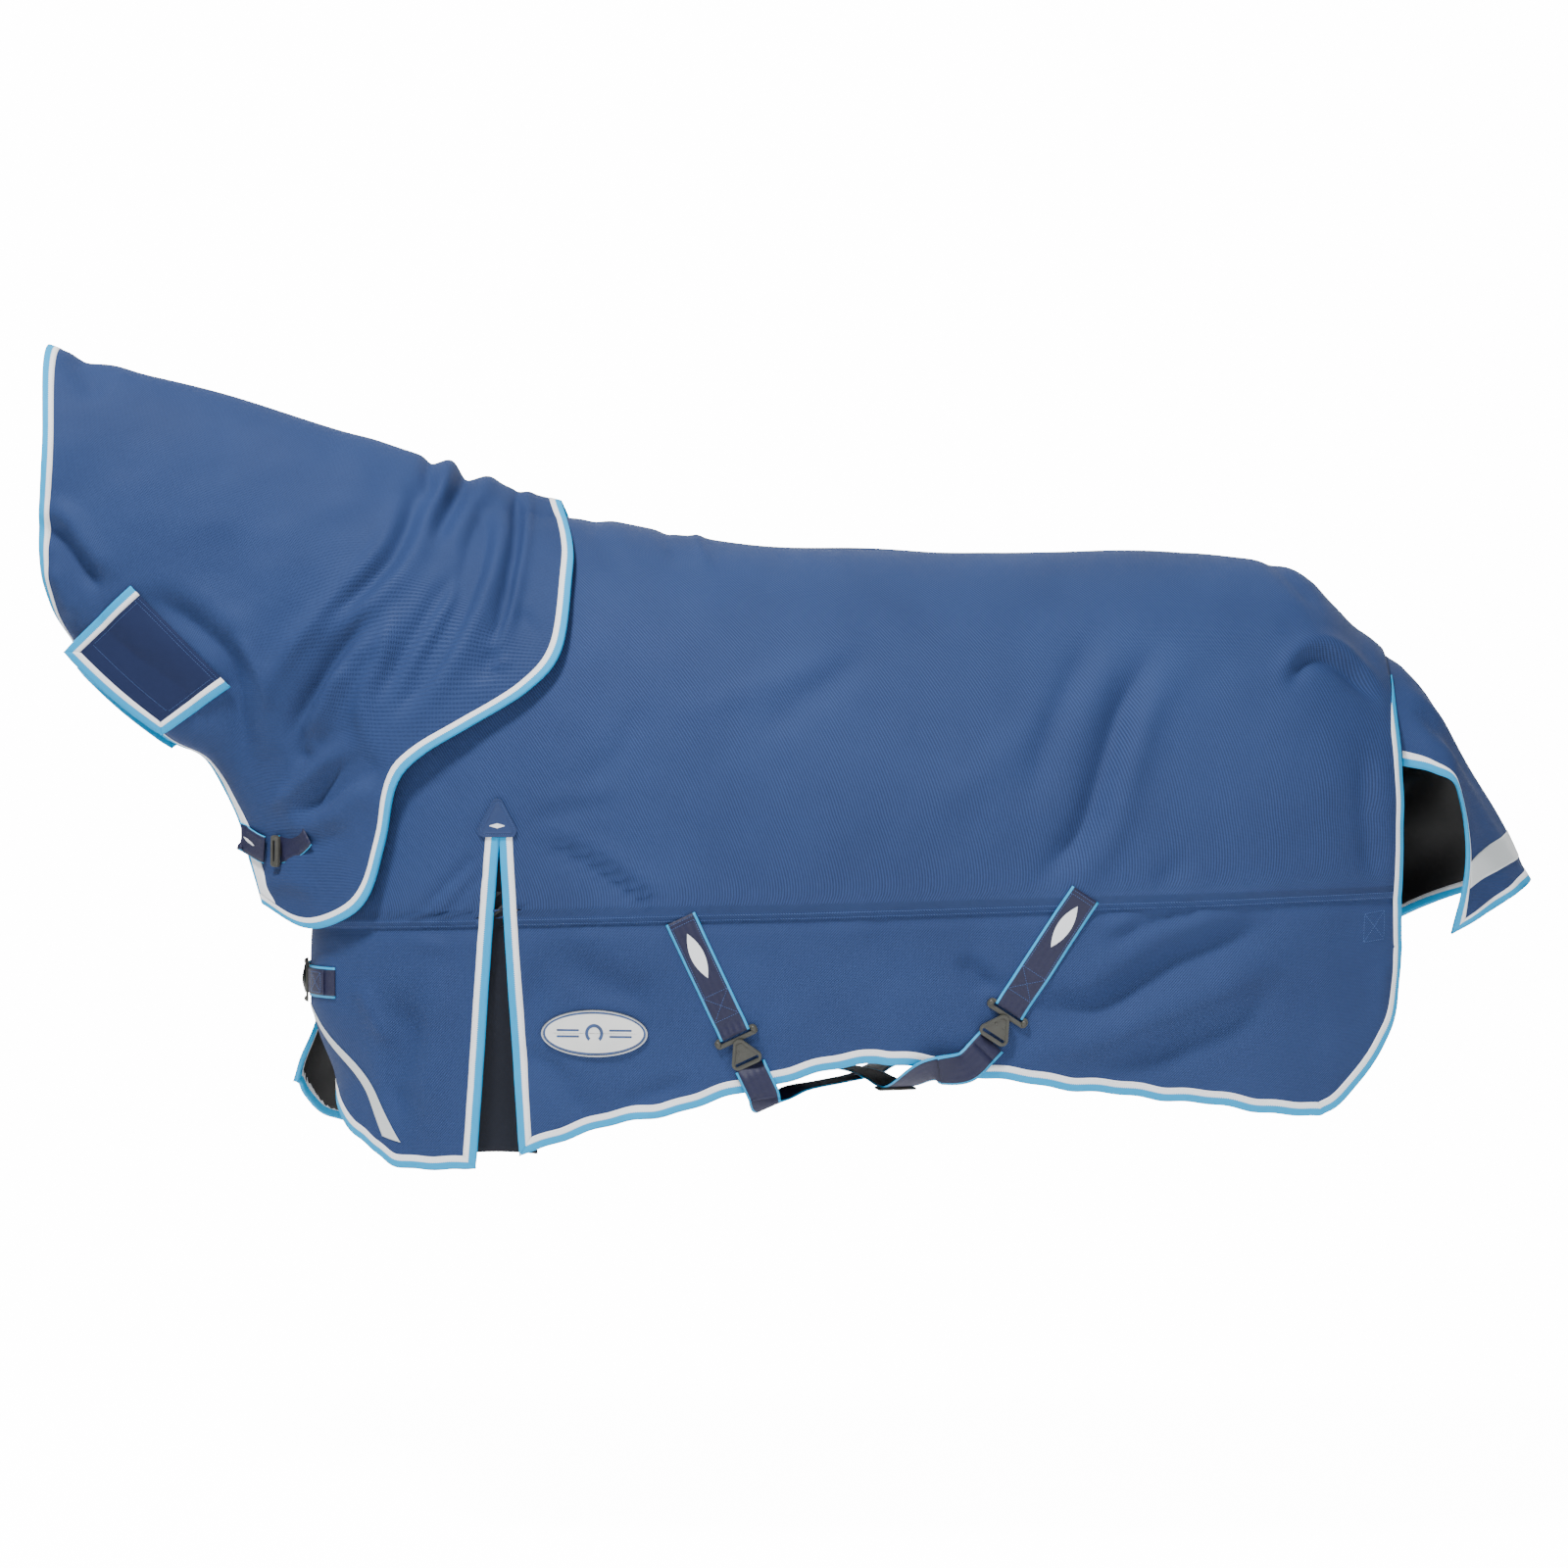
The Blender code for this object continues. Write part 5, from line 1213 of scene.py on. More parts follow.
def neck_sheets():
    """The neck cover's outer cloth and its lining."""

    def place(u, v, depth, spread=1.0):
        turn = (2 * v - 1) * (1 - EDGE_INSET / NECK_HALF_ROUND)
        start = neck_inset(turn, True, EDGE_INSET)
        end = 1 - neck_inset(turn, False, EDGE_INSET)
        return neck_cloth(start + (end - start) * u, turn, -depth, spread)

    def cover(u, v):
        return place(u, v, 0.0)

    def smooth(u, v):
        return place(u, v, 0.0, 0.0)

    def lining(u, v):
        return place(u, v, LINING_DEPTH, LINING_SPREAD)

    thing = sheet_of(172, 250, cover, OUTER_THICKNESS, smooth=smooth)
    set_material(thing, "coated_polyester_blue")
    finish_piece(thing, "neck_cover_cloth", "neck", ["neck_cover"])
    thing = sheet_of(110, 170, lining, LINING_THICKNESS)
    set_material(thing, "nylon_lining_black")
    finish_piece(thing, "neck_cover_lining", "neck", ["neck_lining"])


def neck_tapes():
    """Tapes on the neck cover's face, shoulder and throat edges."""
    turn = np.linspace(-1, 1, 230)
    face = np.stack([0 * turn, turn], 1), np.stack([neck_inset(turn, True), turn], 1)
    shoulder = np.stack([1 + 0 * turn, turn], 1), np.stack([1 - neck_inset(turn, False), turn], 1)
    for part, edges in (("face", face), ("shoulder", shoulder)):
        thing = tape_of(neck_cloth, *edges)
        finish_piece(thing, f"{part}_edge_tape", "neck", [f"neck_{part}_tape"])
    for name, side in SIDES:
        share = np.linspace(neck_inset(side, True) * 0.98, 1 - neck_inset(side, False) * 0.98, 110)
        outer = np.stack([share, side + 0 * share], 1)
        inner = np.stack([share, side * (1 - THROAT_WIDTH) + 0 * share], 1)
        thing = tape_of(neck_cloth, outer, inner)
        finish_piece(thing, f"throat_edge_tape_{name}", "neck", [f"throat_tape_{name}"])


FLAP_LENGTH = 0.455
FLAP_HALF_ROUND = 0.26
FLAP_TURN = TAPE_WIDTH / FLAP_HALF_ROUND


def tail_sheets():
    """The tail flap's outer cloth and its lining, tucked under the rump at the dock."""

    def place(u, v, depth):
        share = -0.10 + (1.10 - EDGE_INSET / FLAP_LENGTH) * u
        turn = (2 * v - 1) * (1 - EDGE_INSET / FLAP_HALF_ROUND)
        tucked = np.minimum(share, 0)[:, None] * np.array([0.40, 0.0, -0.22])
        return flap_cloth(np.maximum(share, 0), turn, -depth) + tucked

    thing = sheet_of(92, 100, lambda u, v: place(u, v, 0.0), OUTER_THICKNESS)
    set_material(thing, "coated_polyester_blue")
    finish_piece(thing, "tail_flap_cloth", "tail", ["tail_flap"])
    thing = sheet_of(70, 76, lambda u, v: place(u, v, LINING_DEPTH), LINING_THICKNESS)
    set_material(thing, "nylon_lining_black")
    finish_piece(thing, "tail_flap_lining", "tail", ["tail_lining"])


def tail_trim():
    """The tail flap's edge tape and its reflective band."""
    outer, inner = three_sides(TAPE_WIDTH / (2 * FLAP_HALF_ROUND), TAPE_WIDTH / FLAP_LENGTH, 100)

    def surface(p, q, lift):
        return flap_cloth(q, 2 * p - 1, lift)

    finish_piece(tape_of(surface, outer, inner), "tail_edge_tape", "tail", ["tail_tape"])

    def band(u, v):
        spot = (2 * v - 1) * (1 - FLAP_TURN - 0.004)
        reach = 1 - np.cos(np.abs(spot) * math.pi / 2)
        first, last = FLAP_BAND[0] - 0.13 * reach, FLAP_BAND[1] - 0.105 * reach
        return flap_cloth(first + (last - first) * u, spot, 0.9 * MM)

    thing = sheet_of(12, 84, band, 0.5 * MM)
    set_material(thing, "reflective_tape_grey")
    finish_piece(thing, "tail_reflective_strip", "tail", ["tail_reflective_band"])


# ---------------------------------------------------------------------------------------------
# Stitching, prints, patches, badge and reflective strips


def stitches(name, body_name, lines, pitch=4.2 * MM, length=3.4 * MM, radius=0.5 * MM):
    """Rows of lockstitch along lines of points: each stitch is a thread that dips in at its ends."""
    middles, aheads = [], []
    for line in lines:
        line = np.array(line)
        run = length_along(line)
        at = (np.arange(int(run[-1] / pitch)) + 0.5) * pitch
        ends = []
        for off in (-MM, MM):
            ends.append(np.stack([np.interp(at + off, run, column) for column in line.T], 1))
        middles.append((ends[0] + ends[1]) / 2)
        aheads.append(ends[1] - ends[0])
    middles, aheads = np.vstack(middles), np.vstack(aheads)
    aheads /= np.linalg.norm(aheads, axis=1)[:, None]
    across = np.cross(aheads, (0.31, 0.83, 0.46))
    across /= np.linalg.norm(across, axis=1)[:, None]
    up = np.cross(aheads, across)
    bpy.ops.object.select_all(action="DESELECT")
    bpy.ops.mesh.primitive_ico_sphere_add(subdivisions=1, radius=1.0)
    thing = bpy.context.object
    form = np.array([vertex.co for vertex in thing.data.vertices]) * (length / 2, radius, radius)
    corners = np.array([face.vertices for face in thing.data.polygons])
    frames = np.stack([aheads, across, up], 1)
    points = np.einsum("vk,nkd->nvd", form, frames) + middles[:, None]
    faces = corners[None] + (np.arange(len(middles)) * len(form))[:, None, None]
    thing.data.clear_geometry()
    thing.data.from_pydata(points.reshape(-1, 3).tolist(), [], faces.reshape(-1, 3).tolist())
    set_material(thing, "sewing_thread_navy")
    select_only(thing)
    bpy.ops.object.shade_smooth()
    return finish_piece(thing, name, body_name)


def box_and_cross(corner_a, corner_b, corner_c, corner_d, place):
    """The lines of a sewn box with a cross in it. Its corners are in a chart that place() lays on the rug."""
    ends = ((corner_a, corner_b), (corner_b, corner_c), (corner_c, corner_d), (corner_d, corner_a),
            (corner_a, corner_c), (corner_b, corner_d))
    share = np.linspace(0, 1, 14)[:, None]
    return [place(*(np.array(start) + (np.array(end) - np.array(start)) * share).T) for start, end in ends]


def seam_stitching():
    """Two rows along each belly seam, through the lap of the back over the lower panels."""
    lines = []
    for _, side in SIDES:
        for above in (3 * MM, 10.5 * MM):
            for start, end in ((TAPE_WIDTH, slit_edge(SEAM_FRONT, "front", TAPE_WIDTH)),
                               (slit_edge(SEAM_FRONT, "rear", TAPE_WIDTH), GIRTH - TAPE_WIDTH)):
                run = np.linspace(start, end, 300)
                lines.append(body(run, turn_of(run, seam_at(run) + above, side), 0.15 * MM))
    stitches("belly_seam_stitching", "rug", lines)


def chest_strips():
    """The reflective strip on each chest panel."""
    for name, side in SIDES:

        def place(u, v):
            run = 0.027 + 0.186 * u + (0.022 + 0.028 * u) * v
            z = -0.730 - 0.212 * u - 0.008 * v
            return body(run, turn_of(run, z, side), TRIM_LIFT)

        thing = sheet_of(48, 10, place, 0.5 * MM, flip=side > 0)
        set_material(thing, "reflective_tape_grey")
        node = f"chest_reflective_{name}"
        finish_piece(thing, f"chest_reflective_strip_{name}", "rug", [node])


def gusset_patches():
    """The moulded patch over the top of each gusset, with its stitching and its printed mark."""
    half, height = 0.038, 0.066
    corners = [(-half, -height / 2), (half, -height / 2), (0.0, height / 2 + 0.006)]
    lines = []
    for name, side in SIDES:
        seat = side_seat(GUSSET_X - 0.002, GUSSET_TOP + 0.031, side, TRIM_LIFT + 0.4 * MM, (0.0, 1.0))
        moves = [("rise", 2.2 * MM), ("inset", 2.4 * MM), ("rise", -0.8 * MM), ("inset", 3.2 * MM),
                 ("rise", 0.6 * MM), ("inset", 2.2 * MM), ("rise", -0.6 * MM)]
        thing = moulding(rounded(corners, 10 * MM, 6), moves, 0.35 * MM)
        thing.data.transform(seat)
        set_material(thing, "moulded_rubber_blue")
        node = f"gusset_patch_{name}"
        finish_piece(thing, f"gusset_patch_moulding_{name}", "rug", [node], 40)
        outline = rounded([(0.86 * x, 0.86 * y) for x, y in corners], 9 * MM, 6)
        line = [seat @ Vector((*spot, 1.6 * MM)) for spot in [*outline, outline[0]]]
        lines.append([tuple(point) for point in line])
        mark = moulding(rounded([(-14 * MM, 0), (0, -4 * MM), (14 * MM, 0), (0, 4 * MM)], 0.6 * MM, 2),
                        [("rise", 0.5 * MM)], 0)
        mark.data.transform(seat @ Matrix.Translation((0, -0.015, 1.5 * MM)))
        add_flat_chart(mark)
        set_material(mark, "screen_print_white")
        finish_piece(mark, f"gusset_patch_mark_{name}", "rug", (), 30)
    stitches("gusset_patch_stitching", "rug", lines, 3.4 * MM, 2.8 * MM, 0.4 * MM)


def add_flat_chart(thing):
    """Charts a small flat piece by its own places, for patterns at a true size."""
    layer = thing.data.uv_layers.new(name="cloth")
    thing.data.uv_layers.active = layer
    for loop in thing.data.loops:
        place = thing.data.vertices[loop.vertex_index].co
        layer.data[loop.index].uv = (place.x, place.z)


def badge():
    """Oval badge: silver rim, dark line, pale domed face, and a plain horseshoe between two bars."""
    seat = side_seat(-0.297, -0.770, LEFT, TRIM_LIFT, (0.0, 1.0))
    moves = [("rise", 2.4 * MM), ("inset", 3.2 * MM), ("rise", -0.8 * MM)]
    rim = moulding(oval(0.170, 0.075), moves, 0.6 * MM)
    line = moulding(oval(0.1635, 0.0685), [("rise", 0.5 * MM)], 0, level=1.55 * MM)
    moves = [("rise", 0.7 * MM), ("inset", 5 * MM), ("rise", 0.3 * MM), ("inset", 9 * MM),
             ("rise", 0.15 * MM)]
    face = moulding(oval(0.157, 0.062), moves, 0.3 * MM, level=1.7 * MM)
    shoe = []
    turns = [math.radians(-50 + 280 * step / 24) for step in range(25)]
    for radius in (14.5 * MM, 9.5 * MM):
        ring = [Vector((radius * math.cos(turn), radius * math.sin(turn) * 1.05)) for turn in turns]
        shoe += ring if radius > 10 * MM else ring[::-1]
    marks = [moulding(shoe, [("rise", 0.6 * MM)], 0, level=2.5 * MM)]
    for middle in (-0.042, 0.042):
        for up in (-5 * MM, 5 * MM):
            bar = rounded(box_outline(0.036, 3.2 * MM, (middle, up)), 1.4 * MM, 3)
            marks.append(moulding(bar, [("rise", 0.6 * MM)], 0, level=2.4 * MM))
    for thing, name, material in (
        (rim, "badge_rim", "badge_rim_silver"),
        (line, "badge_line", "badge_print_navy"),
        (face, "badge_face", "badge_face_pale"),
        (joined(marks), "badge_print", "badge_print_navy"),
    ):
        thing.data.transform(seat)
        set_material(thing, material)
        finish_piece(thing, name, "rug", ["side_badge"] if name == "badge_rim" else (), 35)


# ---------------------------------------------------------------------------------------------
# Webbing


def side_webbing(name, side, start, end, lift, replaces=(), width=WEBBING_WIDTH, body_name="rug", columns=26):
    """Webbing sewn flat on a side, from one place to another, each (x, z). lift may vary along it."""
    start, end = np.array(start), np.array(end)
    length = np.linalg.norm(end - start)
    ahead = (end - start) / length
    left = np.array((-ahead[1], ahead[0])) * width / 2
    rows = 10

    def place(u, v):
        spot = start + (end - start) * u[:, None] + left * (2 * v - 1)[:, None]
        height = lift(u) if callable(lift) else lift
        return on_side(spot[:, 0], spot[:, 1], side, height + WEBBING_THICKNESS)

    def marks(i, j, points):
        return np.stack([length * i / columns, width * (j / rows - 0.5)], -1)

    thing = sheet_of(columns, rows, place, WEBBING_THICKNESS, flip=side > 0, marks=marks)
    set_material(thing, "webbing_navy_turquoise")
    return finish_piece(thing, name, body_name, replaces)


def ribbon(name, body_name, path, outs, width, replaces=(), thickness=WEBBING_THICKNESS):
    """Webbing along a path of points, with its outer face towards outs."""
    path, outs = np.array(path, float), np.array(outs, float)
    ahead = np.gradient(path, axis=0)
    ahead /= np.linalg.norm(ahead, axis=1)[:, None]
    outs = outs - ahead * (outs * ahead).sum(1)[:, None]
    outs /= np.linalg.norm(outs, axis=1)[:, None]
    wide = np.cross(outs, ahead) * width / 2
    run = length_along(path)
    rows = 6

    def place(u, v):
        index = np.rint(u * (len(path) - 1)).astype(int)
        return path[index] + wide[index] * (2 * v - 1)[:, None] + outs[index] * thickness

    def marks(i, j, points):
        return np.stack([run[i], width * (j / rows - 0.5)], -1)

    thing = sheet_of(len(path) - 1, rows, place, thickness, marks=marks)
    set_material(thing, "webbing_navy_turquoise")
    return finish_piece(thing, name, body_name, replaces)


def printed_oval(name, body_name, place, length, width):
    """A pointed oval printed on webbing: place(along, across) lays it, in metres from its middle."""

    def spot(u, v):
        s = 2 * u - 1
        return place(s * length / 2, (2 * v - 1) * width / 2 * (1 - s * s))

    def marks(i, j, points):
        return np.stack([length * i / 20, width * j / 6], -1)

    thing = sheet_of(20, 6, spot, 0, marks=marks)
    set_material(thing, "screen_print_white")
    return finish_piece(thing, name, body_name)


ANCHORS = {"front": ((-0.162, -0.589), (-0.078, -0.765)), "rear": ((0.468, -0.550), (0.352, -0.727))}
CLIP_SETBACK = 14 * MM
LOOP_HEIGHT = 3.4 * MM


def anchor_way(place):
    """Where a surcingle's anchor starts and ends, and its direction, as (x, z)."""
    start, end = (Vector(spot) for spot in ANCHORS[place])
    return start, end, (end - start).normalized()


def anchor_sets():
    """Sewn webbing, hook bar and clip at each end of the two surcingles."""
    for place in ("front", "rear"):
        start, end, ahead = anchor_way(place)
        hook_at = end + ahead * (HOOK_DEPTH / 2 + FIT_GAP)
        clip_at = hook_at + ahead * (HOOK_DEPTH / 2 + CLIP_SIDE * CLIP_ASPECT / 2 + FIT_GAP - CLIP_SETBACK)
        last = end + ahead * 5.5 * MM
        whole = (last - start).length

        def lift(u):
            from_end = (1 - u) * whole
            return TRIM_LIFT - 0.6 * MM + LOOP_HEIGHT * smooth_step(1 - from_end / 0.020)

        lines = []
        for name, side in SIDES:
            webbing, node = f"{place}_anchor_webbing_{name}", f"{place}_anchor_{name}"
            side_webbing(webbing, side, start, last, lift, [node], columns=40)
            seat = side_seat(hook_at.x, hook_at.y, side, TRIM_LIFT, -ahead)
            hook_bar(f"{place}_hook_bar_{name}", "rug", seat, HOOK_WIDTH, [f"{place}_hook_{name}"])
            seat = side_seat(clip_at.x, clip_at.y, side, TRIM_LIFT + 4.6 * MM, -ahead)
            owner = "surcingle_a" if (side < 0) == (place == "front") else "surcingle_b"
            triangle_clip(f"{place}_clip_moulding_{name}", owner, seat, CLIP_SIDE, [f"{place}_clip_{name}"])
            left = Vector((-ahead.y, ahead.x))
            height = TRIM_LIFT + WEBBING_THICKNESS - 0.5 * MM

            def chart(along_strap, across):
                spot_x = start.x + ahead.x * along_strap + left.x * across
                spot_z = start.y + ahead.y * along_strap + left.y * across
                return on_side(spot_x, spot_z, side, height)

            def print_chart(along_strap, across):
                return chart(along_strap + PRINT_AT[place], across * -side) + (0, side * 0.35 * MM, 0)

            share = np.linspace(-0.5, 0.5, 20)
            for row in (4 * MM, 10 * MM):
                lines.append(chart(row + 0 * share, share * 0.044))
            low = whole - 0.030
            high = low - 0.042
            lines += box_and_cross((high, -0.021), (high, 0.021), (low, 0.021), (low, -0.021), chart)
            for edge in (-0.0185, 0.0185):
                lines.append(chart(0.010 + (low - 0.05) * (share + 0.5), edge + 0 * share))
            printed_oval(f"{place}_anchor_print_{name}", "rug", print_chart, 0.076, 0.022)
        stitches(f"{place}_anchor_stitching", "rug", lines, 3.8 * MM, 3.1 * MM, 0.5 * MM)


PRINT_AT = {"front": 0.064, "rear": 0.060}
BELLY_LEVELS = {"a": -0.862, "b": -0.855}


def clip_foot(place, side):
    """Where a surcingle leaves its clip, and the direction it leaves in."""
    _, end, ahead = anchor_way(place)
    foot = end + ahead * (HOOK_DEPTH + CLIP_SIDE * CLIP_ASPECT + 0.008)
    run = run_of(foot.x)
    at = drape(run, turn_of(run, foot.y, side))
    at = at + outward(drape, run, turn_of(run, foot.y, side)) * (TRIM_LIFT + 0.004)
    return Vector(at), Vector((ahead.x, 0, ahead.y))


def surcingle_knots(side, level):
    """Places and outer directions along a belly strap, from its front clip to its rear clip."""
    front, front_way = clip_foot("front", side)
    rear, rear_way = clip_foot("rear", -side)
    out_front, out_rear, down = Vector((0, side, 0)), Vector((0, -side, 0)), Vector((0, 0, -1))
    middle = Vector((0.130, 0, level))
    turn_front = Vector((front.x + 0.060, side * (abs(front.y) - 0.075), level))
    turn_rear = Vector((rear.x - 0.128, -side * (abs(rear.y) - 0.075), level))
    over_hem = Vector((rear.x - 0.085, -side * (abs(rear.y) + 0.002), level + 0.030))
    return [
        (front, out_front),
        (front + front_way * 0.028 + out_front * 0.002, out_front),
        (front + front_way * 0.050 - out_front * 0.008, out_front + down * 1.2),
        (turn_front, down),
        (turn_front.lerp(middle, 0.5), down),
        (middle, down),
        (middle.lerp(turn_rear, 0.5), down),
        (turn_rear, down),
        (over_hem, out_rear + down * 0.8),
        (rear + rear_way * 0.030 + Vector((-0.012, 0, 0)) + out_rear * 0.004, out_rear),
        (rear, out_rear),
    ]


def surcingles():
    """Two belly straps that cross under the horse, each doubled through its clips and through a slide."""
    for name, side in (("a", LEFT), ("b", RIGHT)):
        knots = surcingle_knots(side, BELLY_LEVELS[name])
        line = smooth_line([(*place, *out.normalized()) for place, out in knots], 177)
        path, outs = line[:, :3], line[:, 3:]
        outs = outs / np.linalg.norm(outs, axis=1)[:, None]
        tuck = CLIP_SETBACK + 6 * MM
        front_step, rear_step = path[1] - path[0], path[-1] - path[-2]
        front_back = path[0] - front_step / np.linalg.norm(front_step) * tuck
        rear_back = path[-1] + rear_step / np.linalg.norm(rear_step) * tuck
        whole = np.vstack([front_back + outs[0] * 2 * MM, path, rear_back + outs[-1] * 2 * MM])
        whole_outs = np.vstack([outs[:1], outs, outs[-1:]])
        strap = f"surcingle_{name}"
        ribbon(f"surcingle_strap_{name}", strap, whole, whole_outs, WEBBING_WIDTH, [strap])
        for end, first, last in (("front", 0, 17), ("rear", 152, 178)):
            part, part_outs = whole[first:last], whole_outs[first:last]
            away = np.full(len(part), WEBBING_THICKNESS + 0.3 * MM)
            free = np.arange(len(part)) if end == "rear" else np.arange(len(part))[::-1]
            away = away + 1.2 * MM * np.exp(-free / 1.5)
            above = part + part_outs * away[:, None]
            ribbon(f"surcingle_return_{end}_{name}", strap, above, part_outs, WEBBING_WIDTH - 1.0 * MM)
        index = 100
        foot = path[index] + outs[index] * (WEBBING_THICKNESS + FIT_GAP)
        seat = seat_on(foot, outs[index], path[index + 4] - path[index - 4])
        slide_frame(f"surcingle_slide_frame_{name}", f"slide_{name}", seat, [f"surcingle_slide_{name}"])


# ---------------------------------------------------------------------------------------------
# Moulded fittings


def plastic_piece(thing, name, body_name, seat, replaces):
    """Seats a moulded fitting and gives it its plastic."""
    thing.data.transform(seat)
    set_material(thing, "moulded_plastic_grey")
    return finish_piece(thing, name, body_name, replaces, 40)


def hook_bar(name, body_name, seat, width, replaces=()):
    """A wide hook bar: round ends with nubs, a slot for the webbing and a bar for the clip."""
    slot = rounded(box_outline(width - 0.016, HOOK_DEPTH * 0.30, (0, HOOK_DEPTH * 0.08)), 0.0015, 2)
    outline = rounded(box_outline(width, HOOK_DEPTH), HOOK_DEPTH * 0.42, 5)
    bar = moulding(outline, [("rise", 3.6 * MM), ("inset", 1.2 * MM), ("rise", 0.3 * MM)], 0.7 * MM, [slot])
    nubs = [ball(4.6 * MM, (way * (width / 2 - 5.4 * MM), 0, 3.4 * MM), (1, 1.25, 0.8)) for way in (-1, 1)]
    return plastic_piece(joined([bar, *nubs]), name, body_name, seat, replaces)


def triangle_clip(name, body_name, seat, side_length, replaces=()):
    """A rounded triangular clip with a raised rim, two pin marks and a slot for the webbing at its foot."""
    height, half = side_length * CLIP_ASPECT, side_length / 2
    corners = [(0.0, height / 2), (-half, -height / 2), (half, -height / 2)]
    slot = rounded(box_outline(side_length * 0.62, 0.005, (0, -height / 2 + 0.0085)), 0.0015, 2)
    moves = [("rise", 4.6 * MM), ("inset", 4.2 * MM), ("rise", -1.5 * MM), ("inset", 1.2 * MM),
             ("rise", -0.2 * MM)]
    plate = moulding(rounded(corners, side_length * 0.15, 6), moves, 0.6 * MM, [slot])
    pins = [ball(2.1 * MM, (way * 7 * MM, -0.5 * MM, 3.0 * MM), (1, 1, 0.5)) for way in (-1, 1)]
    outline = rounded(box_outline(0.020, 2.2 * MM, (0, 9 * MM)), 0.9 * MM, 3)
    rib = moulding(outline, [("rise", 1.0 * MM)], 0.3 * MM, level=2.7 * MM)
    return plastic_piece(joined([plate, *pins, rib]), name, body_name, seat, replaces)


def slide_frame(name, body_name, seat, replaces=(), thickness=3.0 * MM):
    """A three-bar slide, with its middle bar ribbed for grip."""
    outline = rounded(box_outline(WEBBING_WIDTH + 0.012, SLIDE_LENGTH), 0.005, 4)
    gap = SLIDE_LENGTH * 0.2
    slots = [rounded(box_outline(WEBBING_WIDTH, 0.006, (0, way * gap)), 0.001, 2) for way in (-1, 1)]
    frame_piece = moulding(outline, [("rise", thickness)], 0.8 * MM, slots)
    top = thickness - 0.1 * MM
    ribs = [rod(0.6 * MM, WEBBING_WIDTH * 0.9, (0, step * 1.7 * MM, top)) for step in (-1, 0, 1)]
    return plastic_piece(joined([frame_piece, *ribs]), name, body_name, seat, replaces)


# ---------------------------------------------------------------------------------------------
# Chest, throat, withers and rear fastenings


CHEST_LEVEL = -0.700


def chest_fastening():
    """Webbing on each chest panel, joined by a hook bar, clip, strap and slide buckle."""
    lines = []
    layers = (("wide", WEBBING_WIDTH, 0.085, 0.0), ("narrow", 0.040, 0.060, 2.2 * MM))
    for name, side, first, node in (
        ("left", LEFT, 0.052, "chest_anchor_left"),
        ("right", RIGHT, 0.036, "chest_tab_right"),
    ):
        for layer, width, length, lift in layers:

            def place(u, v):
                run = first - 0.006 + (length + 0.006) * u
                z = CHEST_LEVEL + (v - 0.5) * width
                return body(run, turn_of(run, z, side), TRIM_LIFT - 0.6 * MM + lift + WEBBING_THICKNESS)

            def marks(i, j, points):
                return np.stack([length * i / 20, width * (j / 8 - 0.5)], -1)

            if layer == "narrow" and side > 0:
                continue
            thing = sheet_of(20, 8, place, WEBBING_THICKNESS, flip=side > 0, marks=marks)
            set_material(thing, "webbing_navy_turquoise")
            stands_for = [node] if layer == "wide" else ()
            finish_piece(thing, f"chest_webbing_{layer}_{name}", "rug", stands_for)

        height = TRIM_LIFT + WEBBING_THICKNESS * (2 if side < 0 else 1) + 0.9 * MM

        def chart(along_strap, across):
            run = first + along_strap
            return body(run, turn_of(run, CHEST_LEVEL + across, side), height)

        lines += box_and_cross((0.020, -0.016), (0.020, 0.016), (0.054, 0.016), (0.054, -0.016), chart)
    stitches("chest_webbing_stitching", "rug", lines, 3.6 * MM, 3.0 * MM, 0.45 * MM)

    turn = turn_of(0.036, CHEST_LEVEL, LEFT)
    normal = outward(drape, 0.036, turn)
    foot = drape(0.036, turn) + normal * (TRIM_LIFT + 2 * MM)
    behind = drape(0.060, turn) - drape(0.036, turn)
    hook_bar("chest_hook_bar", "rug", seat_on(foot, normal, behind), HOOK_WIDTH, ["chest_hook"])
    front = PLAN[0][0] - TRIM_LIFT - 0.009
    reach = CLIP_SIDE * CLIP_ASPECT
    clip_end = foot[1] + HOOK_DEPTH / 2 + 0.003
    seat = seat_on((front, clip_end + reach / 2, CHEST_LEVEL), (-1, 0, 0), (0, -1, 0))
    triangle_clip("chest_clip_moulding", "chest_strap", seat, CLIP_SIDE, ["chest_clip"])
    start = clip_end + reach - 0.012
    path = []
    for step in range(11):
        path.append((front - MM - 2 * MM * math.exp(-step), start + 0.066 * step / 10, CHEST_LEVEL))
    ribbon("chest_strap_webbing", "chest_strap", path, [(-1, 0, 0)] * 11, WEBBING_WIDTH, ["chest_strap"])
    buckle_y = clip_end + reach + 0.002 + 0.052 + 0.001 + SLIDE_LENGTH / 2
    seat = seat_on((front, buckle_y, CHEST_LEVEL), (-1, 0, 0), (0, -1, 0))
    slide_frame("chest_buckle_frame", "rug", seat, ["chest_buckle"], 3.5 * MM)


# The touch-tape tab's sewn side and its free side, as (x, z) ends.
TAB_SEWN = ((-1.051, -0.063), (-0.893, -0.224))
TAB_FREE = ((-1.168, -0.168), (-1.009, -0.303))


